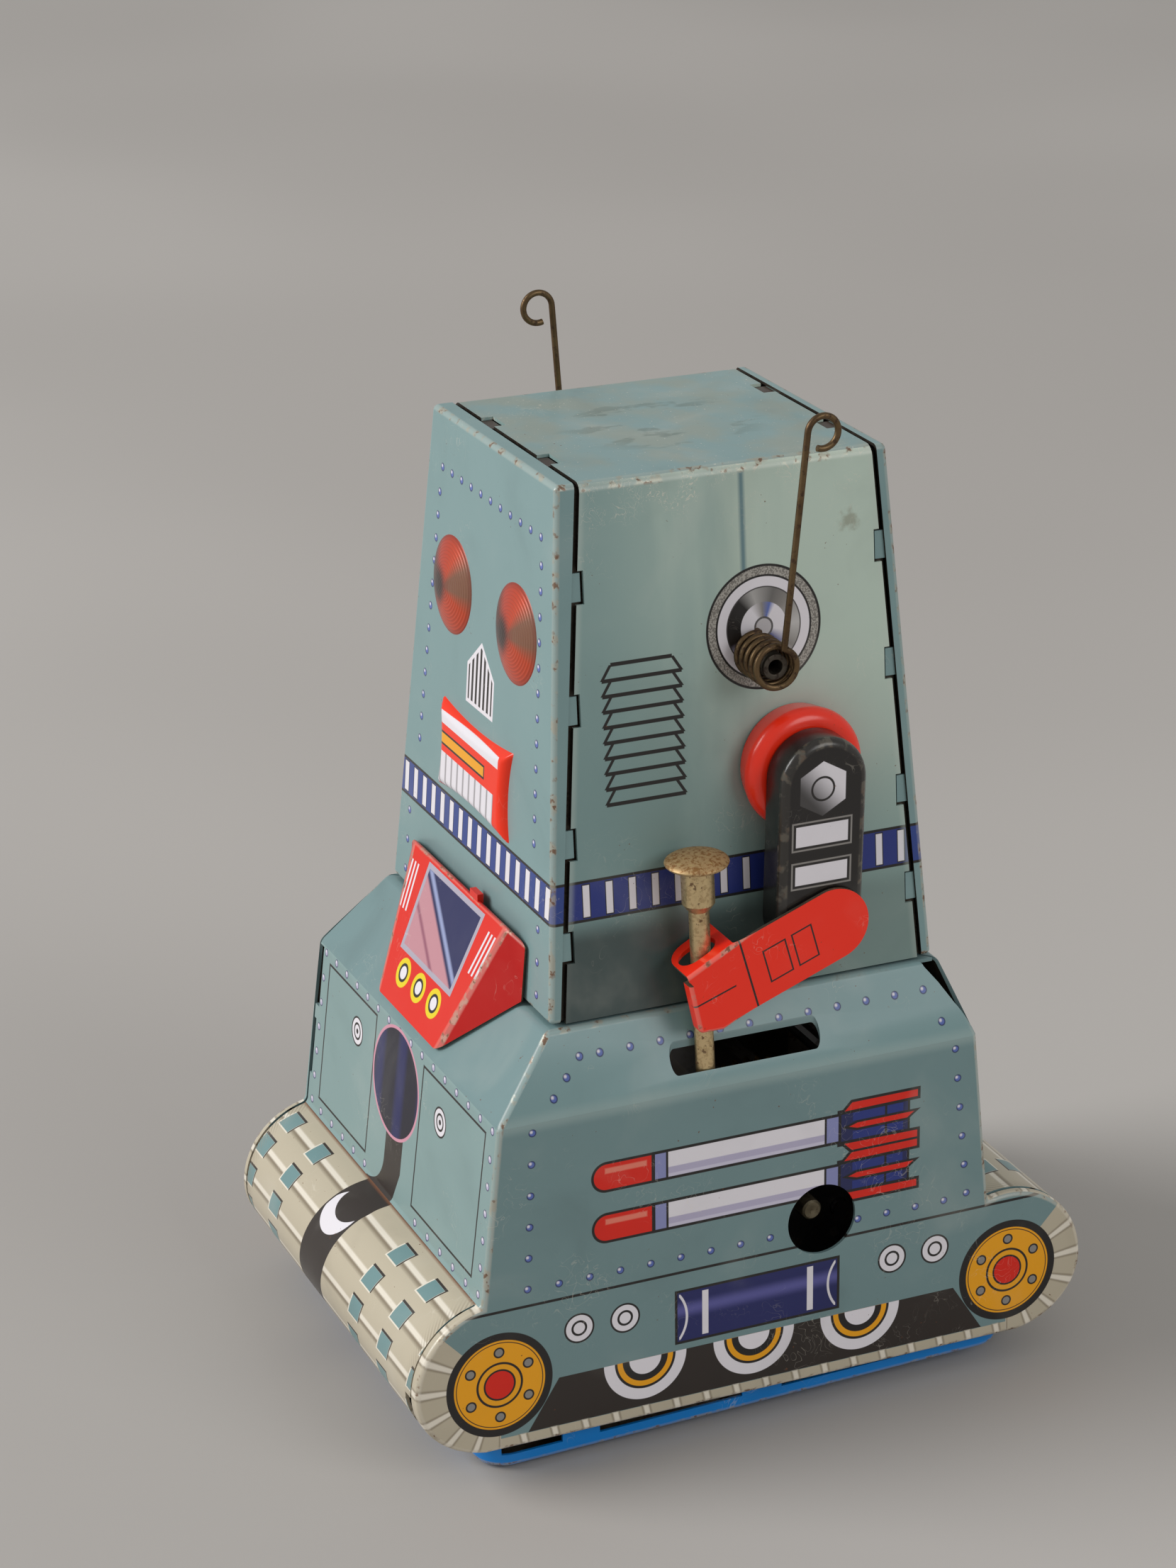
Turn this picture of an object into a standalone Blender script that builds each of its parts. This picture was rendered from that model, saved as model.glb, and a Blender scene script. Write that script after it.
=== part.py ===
"""A wind-up tin toy: a box-headed robot sits in a tracked hull and works two levers.

Units are metres, +Z is up, the robot looks along -Y and its left hand is at +X.
The origin is on the ground under the middle of the hull.
"""

import math

import bmesh
import bpy
from mathutils import Matrix, Vector

# Sheet metal and clearances
SHEET = 0.0004
FIT = 0.0003
BEND = 0.0012

# Hull: flat leaning sides, rolled track ends, a sloping deck up to the head
TRACK_Z = 0.01343
TRACK_HALF_LENGTH = 0.035
ROLL_REACH = 0.0108
ROLL_RISE = 0.0108
ROLL_DROP = 0.0092
HULL_HALF_WIDTH = 0.03144
SIDE_LEAN = math.radians(1.77)
HULL_BEND_Z = 0.047
FRONT_BEND_Y = -0.03445
REAR_BEND_Y = 0.02988
FRONT_FOOT_Y = -0.037
REAR_FOOT_Y = 0.0321
DECK_MARGIN = 0.0006
DECK_SIDE_WIDTH = 0.0042
DECK_FLANGE = 0.004
RIM_WIDTH = 0.0013
ROLL_SEAM_INSET = 0.00165
ROLL_NOTCH_WIDTH = 0.0011
ROLL_NOTCH_LOW_Z = 0.0088
ROLL_NOTCH_HIGH_Z = 0.0132

# Head: a tapered box standing on the deck
HEAD_BASE_Z = 0.05675
HEAD_TOP_Z = 0.1211
HEAD_TOP_HALF_WIDTH = 0.01887
HEAD_BASE_HALF_LENGTH = 0.024
HEAD_TOP_HALF_LENGTH = 0.01919
TRAY_DEPTH = 0.0014
TRAY_BEND = 0.0007
TAB_WIDTH = 0.0034
TAB_LENGTH = 0.0016
TAB_INSET = 0.00006
TOP_TAB_X = 0.0085
SIDE_TAB_HEIGHTS = (0.066, 0.0785, 0.0945, 0.109)

# Pressed features of the face
EYE_X = 0.00995
EYE_Z = 0.1006
EYE_RADIUS = 0.00615
EYE_RISE = 0.0013
MOUTH_HALF_WIDTH = 0.0112
MOUTH_LOW_Z = 0.0743
MOUTH_HIGH_Z = 0.0861
MOUTH_RISE = 0.001
MOUTH_BEND = 0.0006

# Console box between the face and the front deck
CONSOLE_TOP_HALF_WIDTH = 0.015
CONSOLE_TOP_Y = -0.0267
CONSOLE_TOP_Z = 0.0657
CONSOLE_FOOT_HALF_WIDTH = 0.0097
CONSOLE_FOOT_Y = -0.0341
CONSOLE_REAR_HALF_WIDTH = 0.0183
CONSOLE_REAR_TOP_Z = 0.0645

# Arms
SHOULDER_Y = 0.0074
SHOULDER_Z = 0.0843
BOSS_RADIUS = 0.0077
BOSS_FOOT_RADIUS = 0.0072
BOSS_ROUND = 0.0017
BOSS_DEPTH = 0.004
ARM_HALF_WIDTH = 0.0057
ARM_DEPTH = 0.0043
ARM_WALL = 0.0005
ARM_BEND = 0.0011
ELBOW_Y = 0.0072
ELBOW_Z = 0.0672
PIN_RADIUS = 0.0015
PIN_FLANGE_RADIUS = 0.0036
PIN_HEAD_RADIUS = 0.0028
PIN_HEAD_THICKNESS = 0.0008
FOREARM_WALL = 0.0005
FOREARM_END_Y = 0.0085
FOREARM_END_Z = 0.0664
FOREARM_RADIUS = 0.00465
FOREARM_SLOPE = math.radians(21)
HAND_FRONT = 0.0192
HAND_REAR = 0.0124
HAND_DROP = 0.0036
HAND_CHIN = 0.0011
HAND_REACH_IN = 0.0066
HAND_FLANGE = 0.0019
HAND_HOLE_WIDTH = 0.0033
HAND_HOLE_LENGTH = 0.0042

# Levers and their rocker, which swing about a shaft low in the hull
LEVER_INSET = 0.00175
ROCKER_Y = -0.0045
ROCKER_Z = 0.009
LEVER_LEAN = math.radians(3.1)
LEVER_LENGTH = 0.0682
LEVER_RADIUS = 0.00125
LEVER_BLADE_THICKNESS = 0.0013
LEVER_BLADE_LENGTH = 0.0465
LEVER_HEAD_RADIUS = 0.0039
LEVER_HEAD_THICKNESS = 0.0017
LEVER_COLLAR_RADIUS = 0.002
LEVER_COLLAR_LENGTH = 0.0055
LEVER_EYE_RADIUS = 0.0024
ROCKER_SHAFT_RADIUS = 0.0012
SLOT_FRONT_Y = -0.0114
SLOT_REAR_Y = 0.0087
SLOT_WIDTH = 0.0017

# Antennas: one wire each, wound into a coil, run up as a mast and curled at the end
WIRE_RADIUS = 0.0004
COIL_RADIUS = 0.00245
COIL_TURNS = 5
COIL_PITCH = 0.00128
COIL_POINTS = 10
COIL_Y = 0.002
COIL_Z = 0.0988
MAST_LENGTH = {"left": 0.0291, "right": 0.0307}
MAST_LEAN = {"left": math.radians(4.6), "right": math.radians(6.6)}
COIL_END_ANGLE = {"left": math.radians(94.6), "right": math.radians(92.6)}
LOOP_RADIUS = 0.00195
LOOP_TURN = math.radians(285)
LOOP_POINTS = 9
STUD_RADIUS = 0.0016
STUD_BORE = 0.0009
STUD_HEAD_RADIUS = 0.0026
STUD_HEAD_THICKNESS = 0.0007

# Base pan, which hangs lower at the front
BASE_HALF_LENGTH = 0.0363
BASE_FRONT_Z = 0.0005
BASE_REAR_Z = 0.0037
BASE_FLANGE = 0.0055
BASE_CORNER = 0.004
BASE_BEND = 0.0008
NOTCH_SPANS_Y = ((-0.034, -0.026), (-0.021, -0.0015), (0.004, 0.0225))
NOTCH_FLOOR = 0.0018

# Clockwork: gear train, axles, plates
MODULE = 0.0005
GREAT_TEETH = 48
SECOND_PINION_TEETH = 12
SECOND_WHEEL_TEETH = 32
DRIVE_PINION_TEETH = 10
TOOTH_ADDENDUM = 0.7
TOOTH_ROOT_SHARE = 0.54
TOOTH_TIP_SHARE = 0.2
RATCHET_TEETH = 14
RATCHET_RADIUS = 0.0046
RATCHET_ROOT_RADIUS = 0.0037
CLICK_PIVOT_ANGLE = math.radians(100)
CLICK_NOSE_ANGLE = math.radians(64)
GEAR_THICKNESS = 0.0012
PINION_THICKNESS = 0.0024
GEAR_X = 0.0095
WHEEL_RADIUS = 0.0065
WHEEL_WIDTH = 0.004
WHEEL_HUB_RADIUS = 0.0024
WHEEL_RIM_RADIUS = 0.0053
WHEEL_DISH = 0.0008
WHEEL_EDGE = 0.0005
WHEEL_X = 0.0232
AXLE_RADIUS = 0.0011
ARBOR_RADIUS = 0.0015
REAR_AXLE_Y = 0.02
FRONT_AXLE_Y = -0.021
TRAIN_RISE_ANGLE = math.radians(89)
TRAIN_BACK_ANGLE = math.radians(141.7)
PLATE_X = 0.0125
PLATE_THICKNESS = 0.0008
PILLAR_RADIUS = 0.0014
PILLAR_NECK_RADIUS = 0.00084
LOWER_PILLAR_REACH = 0.0085
UPPER_FRONT_PILLAR_ANGLE = math.radians(139)
UPPER_REAR_PILLAR_ANGLE = math.radians(30)
KEYHOLE_RADIUS = 0.00465
KEY_SQUARE = 0.0024
KEY_INSET = 0.0025
KEY_SQUARE_LENGTH = 0.0085
SPRING_TURNS = 6
SPRING_OUTER_RADIUS = 0.0108
SPRING_THICKNESS = 0.0004
SPRING_HALF_WIDTH = 0.0062
CRANK_RADIUS = 0.002
CRANK_DISC_RADIUS = 0.0036
CRANK_PIN_RADIUS = 0.0008
CRANK_REST_ANGLE = math.radians(50)
ROCKER_ARM_WIDTH = 0.004
ROCKER_ARM_THICKNESS = 0.0008
ROCKER_TILT = math.radians(1)

ROUND = 20
FINE_ROUND = 28


# Places worked out from the driving dimensions
def side_x(z):
    """Half-width of the hull's outer side at height z."""
    return HULL_HALF_WIDTH - (z - TRACK_Z) * math.tan(SIDE_LEAN)


HEAD_BASE_HALF_WIDTH = side_x(HULL_BEND_Z) - DECK_SIDE_WIDTH - DECK_MARGIN


def head_share(z):
    """How far up the head a height is: 0 at its base, 1 at its top."""
    return (z - HEAD_BASE_Z) / (HEAD_TOP_Z - HEAD_BASE_Z)


def head_x(z):
    """Half-width of the head's outer side at height z."""
    return HEAD_BASE_HALF_WIDTH + (HEAD_TOP_HALF_WIDTH - HEAD_BASE_HALF_WIDTH) * head_share(z)


def head_y(z):
    """Half-length of the head wrap at height z."""
    return HEAD_BASE_HALF_LENGTH + (HEAD_TOP_HALF_LENGTH - HEAD_BASE_HALF_LENGTH) * head_share(z)


def face_y(z):
    """Front plane of the face tray at height z."""
    return -head_y(z) - FIT - TRAY_DEPTH


def deck_z(y):
    """Height of the sloping front deck at y."""
    rise = (DECK_Z - HULL_BEND_Z) / (-DECK_HALF_LENGTH - FRONT_BEND_Y)
    return HULL_BEND_Z + (y - FRONT_BEND_Y) * rise


def base_top_z(y):
    """Height of the base pan's upper face at y."""
    slope = (BASE_REAR_Z - BASE_FRONT_Z) / (2 * BASE_HALF_LENGTH)
    return BASE_FRONT_Z + (y + BASE_HALF_LENGTH) * slope + SHEET


def polar(centre, radius, angle):
    return (centre[0] + radius * math.cos(angle), centre[1] + radius * math.sin(angle))


def direction(start, end):
    return math.atan2(end[1] - start[1], end[0] - start[0])


DECK_Z = HEAD_BASE_Z - FIT
DECK_HALF_WIDTH = HEAD_BASE_HALF_WIDTH + DECK_MARGIN
DECK_HALF_LENGTH = HEAD_BASE_HALF_LENGTH + TRAY_DEPTH + FIT + DECK_MARGIN
HEAD_SIDE_SLOPE = math.atan2(HEAD_BASE_HALF_WIDTH - HEAD_TOP_HALF_WIDTH, HEAD_TOP_Z - HEAD_BASE_Z)
BASE_HALF_WIDTH = side_x(TRACK_Z - ROLL_DROP) - RIM_WIDTH - 2 * FIT
BASE_TILT = math.atan2(BASE_REAR_Z - BASE_FRONT_Z, 2 * BASE_HALF_LENGTH)
OPENING_HALF_LENGTH = BASE_HALF_LENGTH + 2 * FIT

SHOULDER = (SHOULDER_Y, SHOULDER_Z)
BOSS_OUT_X = head_x(SHOULDER_Z) + BOSS_DEPTH
ARM_BACK_X = BOSS_OUT_X + FIT
ARM_FRONT_X = ARM_BACK_X + ARM_DEPTH
FOREARM_FRONT_X = ARM_FRONT_X + FIT + FOREARM_WALL
ROCKER = (ROCKER_Y, ROCKER_Z)
LEVER_X = side_x(HULL_BEND_Z) - LEVER_INSET

REAR_AXLE = (REAR_AXLE_Y, WHEEL_RADIUS)
FRONT_AXLE = (FRONT_AXLE_Y, WHEEL_RADIUS)
DRIVE_CENTRES = MODULE * (SECOND_WHEEL_TEETH + DRIVE_PINION_TEETH) / 2
GREAT_CENTRES = MODULE * (GREAT_TEETH + SECOND_PINION_TEETH) / 2
SECOND = polar(REAR_AXLE, DRIVE_CENTRES, TRAIN_RISE_ANGLE)
WINDING = polar(SECOND, GREAT_CENTRES, TRAIN_BACK_ANGLE)
KEY_END_X = side_x(WINDING[1]) - KEY_INSET
GREAT_TIP = MODULE * (GREAT_TEETH + 2) / 2
PILLARS = {
    "upper_front": polar(WINDING, GREAT_TIP + 3 * PILLAR_RADIUS, UPPER_FRONT_PILLAR_ANGLE),
    "upper_rear": polar(WINDING, GREAT_TIP + 3 * PILLAR_RADIUS, UPPER_REAR_PILLAR_ANGLE),
    "lower_rear": (REAR_AXLE_Y + LOWER_PILLAR_REACH, WHEEL_RADIUS),
    "lower_front": (ROCKER_Y - LOWER_PILLAR_REACH, ROCKER_Z),
}


# Collections and materials
def clear_scene():
    for old in list(bpy.data.objects):
        bpy.data.objects.remove(old, do_unlink=True)


def new_collection(name):
    made = bpy.data.collections.new(name)
    bpy.context.scene.collection.children.link(made)
    return made


def new_material(name, colour, roughness, metallic):
    made = bpy.data.materials.new(name)
    made.use_nodes = True
    shader = made.node_tree.nodes["Principled BSDF"]
    shader.inputs["Base Color"].default_value = (*colour, 1.0)
    shader.inputs["Roughness"].default_value = roughness
    shader.inputs["Metallic"].default_value = metallic
    return made


clear_scene()
TOY = new_collection("wind_up_robot_tank")
CUTTERS = new_collection("cutters")
TIN = {
    "grey_blue": new_material("grey_blue_print", (0.17, 0.26, 0.28), 0.35, 0.2),
    "blue": new_material("blue_base_enamel", (0.0, 0.17, 0.50), 0.35, 0.1),
    "red": new_material("red_enamel", (0.62, 0.03, 0.02), 0.3, 0.1),
    "black": new_material("black_enamel", (0.015, 0.015, 0.014), 0.3, 0.1),
    "brass": new_material("dull_brass", (0.42, 0.33, 0.20), 0.45, 0.9),
    "wire": new_material("dark_spring_wire", (0.13, 0.11, 0.09), 0.45, 0.9),
    "steel": new_material("motor_steel", (0.45, 0.45, 0.44), 0.4, 1.0),
    "gear": new_material("gear_brass", (0.55, 0.42, 0.17), 0.4, 1.0),
    "wheel": new_material("wheel_tin", (0.30, 0.30, 0.30), 0.5, 0.6),
}


# Modelling helpers
def place(name, mesh, finish=None):
    """Puts a mesh in the toy under a finish, or among the cutters without one."""
    made = bpy.data.objects.new(name, mesh)
    if finish:
        TOY.objects.link(made)
        mesh.materials.append(TIN[finish])
    else:
        CUTTERS.objects.link(made)
        made.hide_render = True
        made.display_type = "WIRE"
    return made


def to_mesh(name, shape):
    bmesh.ops.recalc_face_normals(shape, faces=shape.faces)
    mesh = bpy.data.meshes.new(name)
    shape.to_mesh(mesh)
    shape.free()
    return mesh


def prism(name, outline, low, high, along="X", finish=None):
    """A flat outline swept from low to high: (y, z) points along X, or (x, y) points along Z."""
    shape = bmesh.new()
    if along == "X":
        points = [(low, u, v) for u, v in outline]
        travel = (high - low, 0, 0)
    else:
        points = [(u, v, low) for u, v in outline]
        travel = (0, 0, high - low)
    face = shape.faces.new([shape.verts.new(point) for point in points])
    swept = bmesh.ops.extrude_face_region(shape, geom=[face])
    moved = [part for part in swept["geom"] if isinstance(part, bmesh.types.BMVert)]
    bmesh.ops.translate(shape, verts=moved, vec=travel)
    return place(name, to_mesh(name, shape), finish)


def box(name, low, high, finish=None):
    shape = bmesh.new()
    bmesh.ops.create_cube(shape, size=1)
    size = Vector(high) - Vector(low)
    bmesh.ops.scale(shape, verts=shape.verts, vec=size)
    bmesh.ops.translate(shape, verts=shape.verts, vec=(Vector(low) + Vector(high)) / 2)
    return place(name, to_mesh(name, shape), finish)


def spun(name, profile, finish=None, steps=ROUND):
    """A profile of (radius, height) points turned about its own Z, from the top, over the outside, to the foot."""
    mesh = bpy.data.meshes.new(name)
    points = [(radius, 0, height) for radius, height in profile]
    mesh.from_pydata(points, [(i, i + 1) for i in range(len(points) - 1)], [])
    made = place(name, mesh, finish)
    screw = made.modifiers.new("turn", "SCREW")
    screw.steps = screw.render_steps = steps
    screw.use_merge_vertices = True
    screw.merge_threshold = 0.00001
    return made


def turned(name, profile, centre, finish=None, steps=ROUND):
    """A spun profile of (radius, x) points laid along X through centre (y, z)."""
    made = spun(name, profile, finish, steps)
    made.location = (0, *centre)
    made.rotation_euler = (0, math.radians(90), 0)
    return made


def rod(name, radius, low, high, centre, finish=None, steps=ROUND):
    profile = [(0, high), (radius, high), (radius, low), (0, low)]
    return turned(name, profile, centre, finish, steps)


def combine(target, tool, operation="DIFFERENCE"):
    change = target.modifiers.new(tool.name, "BOOLEAN")
    change.operation = operation
    change.object = tool


def drill(target, radius, low, high, centre, steps=ROUND):
    combine(target, rod(f"{target.name}_hole", radius, low, high, centre, steps=steps))


def fold(target, bend, wall, segments=2, angle=25):
    """Rounds the bends of an open sheet and gives it its wall, inwards."""
    bevel = target.modifiers.new("bends", "BEVEL")
    bevel.width = bend
    bevel.segments = segments
    bevel.limit_method = "ANGLE"
    bevel.angle_limit = math.radians(angle)
    solid = target.modifiers.new("wall", "SOLIDIFY")
    solid.thickness = wall
    solid.offset = -1
    solid.use_even_offset = True


def arc(centre, radii, start, end, count):
    """Points of an elliptic arc, both ends included, with angles in degrees."""
    across, up = radii
    angles = [math.radians(start + (end - start) * i / count) for i in range(count + 1)]
    return [(centre[0] + across * math.cos(a), centre[1] + up * math.sin(a)) for a in angles]


def capsule(start, end, radius, count=8):
    """Outline of a slot with round ends between two points."""
    heading = math.degrees(direction(start, end))
    round_end = arc(end, (radius, radius), heading - 90, heading + 90, count)
    return round_end + arc(start, (radius, radius), heading + 90, heading + 270, count)


SIDES = {"left": 1, "right": -1}


# Hull
def hull_profile(sign, bend_y, foot_y):
    """Side profile of one end, from the bend under the deck down round the roll: (y, z) points."""
    foot = math.degrees(math.acos(min(1, (sign * foot_y - TRACK_HALF_LENGTH) / ROLL_REACH)))
    lip = math.degrees(math.asin((OPENING_HALF_LENGTH - TRACK_HALF_LENGTH) / ROLL_REACH)) - 90
    upper = arc((0, TRACK_Z), (ROLL_REACH, ROLL_RISE), foot, 0, 6)
    lower = arc((0, TRACK_Z), (ROLL_REACH, ROLL_DROP), 0, lip, 6)
    roll = [(sign * (TRACK_HALF_LENGTH + y), z) for y, z in upper + lower[1:]]
    return [(bend_y, HULL_BEND_Z)] + roll


def hull_surface():
    """Outer skin of the hull: open below for the base pan and above for the head."""
    shape = bmesh.new()
    front = hull_profile(-1, FRONT_BEND_Y, FRONT_FOOT_Y)
    rear = hull_profile(1, REAR_BEND_Y, REAR_FOOT_Y)

    def vert(x, y, z):
        return shape.verts.new((x, y, z))

    flank = {}
    for side in (1, -1):
        for end, profile in (("front", front), ("rear", rear)):
            flank[side, end] = [vert(side * side_x(z), y, z) for y, z in profile]
    rim = {}
    for side in (1, -1):
        for end, profile in (("front", front), ("rear", rear)):
            y, z = profile[-1]
            rim[side, end] = vert(side * (side_x(z) - RIM_WIDTH), y, z)
    deck, mouth = {}, {}
    for side in (1, -1):
        for end, sign in (("front", -1), ("rear", 1)):
            deck[side, end] = vert(side * DECK_HALF_WIDTH, sign * DECK_HALF_LENGTH, DECK_Z)
            inner = (DECK_HALF_WIDTH - DECK_FLANGE, DECK_HALF_LENGTH - DECK_FLANGE)
            mouth[side, end] = vert(side * inner[0], sign * inner[1], DECK_Z)

    for end in ("front", "rear"):
        left, right = flank[1, end], flank[-1, end]
        for i in range(len(left) - 2):
            shape.faces.new((left[i], left[i + 1], right[i + 1], right[i]))
        shape.faces.new((left[-2], left[-1], rim[1, end], rim[-1, end], right[-1], right[-2]))
        shape.faces.new((left[0], right[0], deck[-1, end], deck[1, end]))
        shape.faces.new((deck[1, end], deck[-1, end], mouth[-1, end], mouth[1, end]))
    for side in (1, -1):
        ahead, behind = flank[side, "front"], flank[side, "rear"]
        shape.faces.new(ahead + behind[::-1])
        shape.faces.new((ahead[0], behind[0], deck[side, "rear"], deck[side, "front"]))
        shape.faces.new((deck[side, "front"], deck[side, "rear"], mouth[side, "rear"], mouth[side, "front"]))
        shape.faces.new((ahead[-1], behind[-1], rim[side, "rear"], rim[side, "front"]))
    return shape


def seam_regions():
    """Plan-view territories of the two L-shaped sheets, each with half of the gap at the seams added."""
    far = 3 * TRACK_HALF_LENGTH
    roll_x = side_x(TRACK_Z) - ROLL_SEAM_INSET
    corner_x = side_x(HULL_BEND_Z) - BEND / 2
    half = FIT / 2

    def seam(shift):
        front = [
            (-roll_x + shift, -far),
            (-roll_x + shift, FRONT_FOOT_Y),
            (-corner_x + shift, FRONT_BEND_Y),
            (-DECK_HALF_WIDTH + shift, -DECK_HALF_LENGTH),
            (shift, -shift),
        ]
        rear = [
            (DECK_HALF_WIDTH + shift, DECK_HALF_LENGTH),
            (corner_x + shift, REAR_BEND_Y),
            (roll_x + shift, REAR_FOOT_Y),
            (roll_x + shift, far),
        ]
        return front + rear

    front_left = seam(-half) + [(far, far), (far, -far)]
    rear_right = seam(half) + [(-far, far), (-far, -far)]
    return front_left, rear_right


def build_hull():
    front_left, rear_right = seam_regions()
    keyhole = rod("keyhole", KEYHOLE_RADIUS, 0, 2 * HULL_HALF_WIDTH, WINDING, steps=FINE_ROUND)
    for name, side, other in (
        ("hull_front_left_sheet", 1, rear_right),
        ("hull_rear_right_sheet", -1, front_left),
    ):
        sheet = place(name, to_mesh(name, hull_surface()), "grey_blue")
        fold(sheet, BEND, SHEET)
        sheet.modifiers.new("flat_faces", "TRIANGULATE")
        first = (side * LEVER_X, SLOT_FRONT_Y + SLOT_WIDTH / 2)
        last = (side * LEVER_X, SLOT_REAR_Y - SLOT_WIDTH / 2)
        slot = capsule(first, last, SLOT_WIDTH / 2)
        combine(sheet, prism(f"{name}_slot", slot, HULL_BEND_Z - BEND, DECK_Z + BEND, "Z"))
        if side > 0:
            combine(sheet, keyhole)
        cut_roll_end(sheet, side)
        combine(sheet, prism(f"{name}_seam", other, -TRACK_Z, HEAD_TOP_Z, "Z"))


def cut_roll_end(sheet, side):
    """Parts the roll from the rim of the side it bends out of, with a notch at its nose."""
    foot_y = (FRONT_FOOT_Y if side > 0 else REAR_FOOT_Y) - side * SHEET
    nose_y = -side * (TRACK_HALF_LENGTH + 2 * ROLL_REACH)
    edge = side * (side_x(TRACK_Z) - ROLL_SEAM_INSET)
    near, far = sorted((foot_y, nose_y))
    for label, start, width, low_z, high_z in (
        ("slit", 0, FIT, -TRACK_Z, HULL_BEND_Z),
        ("notch", FIT / 2, ROLL_NOTCH_WIDTH, ROLL_NOTCH_LOW_Z, ROLL_NOTCH_HIGH_Z),
    ):
        inner, outer = sorted((edge - side * start, edge - side * width))
        combine(sheet, box(f"{sheet.name}_{label}", (inner, near, low_z), (outer, far, high_z)))


# Base pan
def build_base():
    half = (BASE_HALF_WIDTH, BASE_HALF_LENGTH)
    corners = [(1, 1, 0), (-1, 1, 90), (-1, -1, 180), (1, -1, 270)]
    outline = []
    for across, along, start in corners:
        centre = (across * (half[0] - BASE_CORNER), along * (half[1] - BASE_CORNER))
        outline += arc(centre, (BASE_CORNER, BASE_CORNER), start, start + 90, 4)
    shape = bmesh.new()
    floor = shape.faces.new([shape.verts.new((x, y, 0)) for x, y in outline])
    walls = bmesh.ops.extrude_edge_only(shape, edges=list(floor.edges))
    raised = [part for part in walls["geom"] if isinstance(part, bmesh.types.BMVert)]
    bmesh.ops.translate(shape, verts=raised, vec=(0, 0, BASE_FLANGE))
    pan = place("base_pan", to_mesh("base_pan", shape), "blue")
    pan.location = (0, 0, (BASE_FRONT_Z + BASE_REAR_Z) / 2)
    pan.rotation_euler = (BASE_TILT, 0, 0)
    fold(pan, BASE_BEND, SHEET)
    for index, (start, end) in enumerate(NOTCH_SPANS_Y):
        low, high = (-2 * half[0], start, NOTCH_FLOOR), (2 * half[0], end, 2 * BASE_FLANGE)
        notch = box(f"base_notch_{index}", low, high)
        notch.location = pan.location
        notch.rotation_euler = pan.rotation_euler
        combine(pan, notch)
    for side in (1, -1):
        for y in (FRONT_AXLE_Y, REAR_AXLE_Y):
            reach = (WHEEL_WIDTH / 2 + 2 * FIT, WHEEL_RADIUS + 2 * FIT)
            low = (side * WHEEL_X - reach[0], y - reach[1], -WHEEL_RADIUS)
            high = (side * WHEEL_X + reach[0], y + reach[1], WHEEL_RADIUS)
            combine(pan, box(f"wheel_slot_{side}_{y}", low, high))


# Head
def tab_boxes(sign, notch):
    """Boxes of the end trays' tabs that lap into the wrap, or of the notches that take them."""
    boxes = []
    grow = FIT if notch else -TAB_INSET
    half = TAB_WIDTH / 2 + max(grow, 0)

    def span(z):
        root = head_y(z) + (2 * FIT if notch else FIT + TRAY_DEPTH / 2)
        return sorted((sign * root, sign * (head_y(z) - TAB_LENGTH - max(grow, 0))))

    for x in (-TOP_TAB_X, TOP_TAB_X):
        y = span(HEAD_TOP_Z)
        boxes.append(((x - half, y[0], HEAD_TOP_Z - SHEET - grow), (x + half, y[1], HEAD_TOP_Z + grow), 0, 0))
    for side in (1, -1):
        for z in SIDE_TAB_HEIGHTS:
            y = span(z)
            across = sorted((-side * (SHEET + grow), side * grow))
            boxes.append(((across[0], y[0], -half), (across[1], y[1], half), side, z))
    return boxes


def tab_object(name, low, high, side, z):
    """A tab's box: as given on the top, or laid along the leaning side at height z."""
    made = box(name, low, high)
    if side:
        made.location = (side * head_x(z), 0, z)
        made.rotation_euler = (0, -side * HEAD_SIDE_SLOPE, 0)
    return made


def build_wrap():
    shape = bmesh.new()
    rows = []
    for sign in (-1, 1):
        rows.append([shape.verts.new(point) for point in (
            (-HEAD_BASE_HALF_WIDTH, sign * HEAD_BASE_HALF_LENGTH, HEAD_BASE_Z),
            (-HEAD_TOP_HALF_WIDTH, sign * HEAD_TOP_HALF_LENGTH, HEAD_TOP_Z),
            (HEAD_TOP_HALF_WIDTH, sign * HEAD_TOP_HALF_LENGTH, HEAD_TOP_Z),
            (HEAD_BASE_HALF_WIDTH, sign * HEAD_BASE_HALF_LENGTH, HEAD_BASE_Z),
        )])
    front, rear = rows
    for i in range(3):
        shape.faces.new((front[i], front[i + 1], rear[i + 1], rear[i]))
    mesh = to_mesh("head_wrap", shape)
    wrap = place("head_wrap", mesh, "grey_blue")
    if mesh.polygons[1].normal.z < 0:
        mesh.flip_normals()
    fold(wrap, BEND, SHEET, segments=3)
    for sign in (-1, 1):
        for index, (low, high, side, z) in enumerate(tab_boxes(sign, True)):
            combine(wrap, tab_object(f"wrap_notch_{sign}_{index}", low, high, side, z))
    for side in (1, -1):
        low, high = sorted((0, side * 2 * HEAD_BASE_HALF_WIDTH))
        drill(wrap, PIN_RADIUS + FIT, low, high, SHOULDER)
        drill(wrap, STUD_RADIUS + FIT, low, high, (COIL_Y, COIL_Z))


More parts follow.
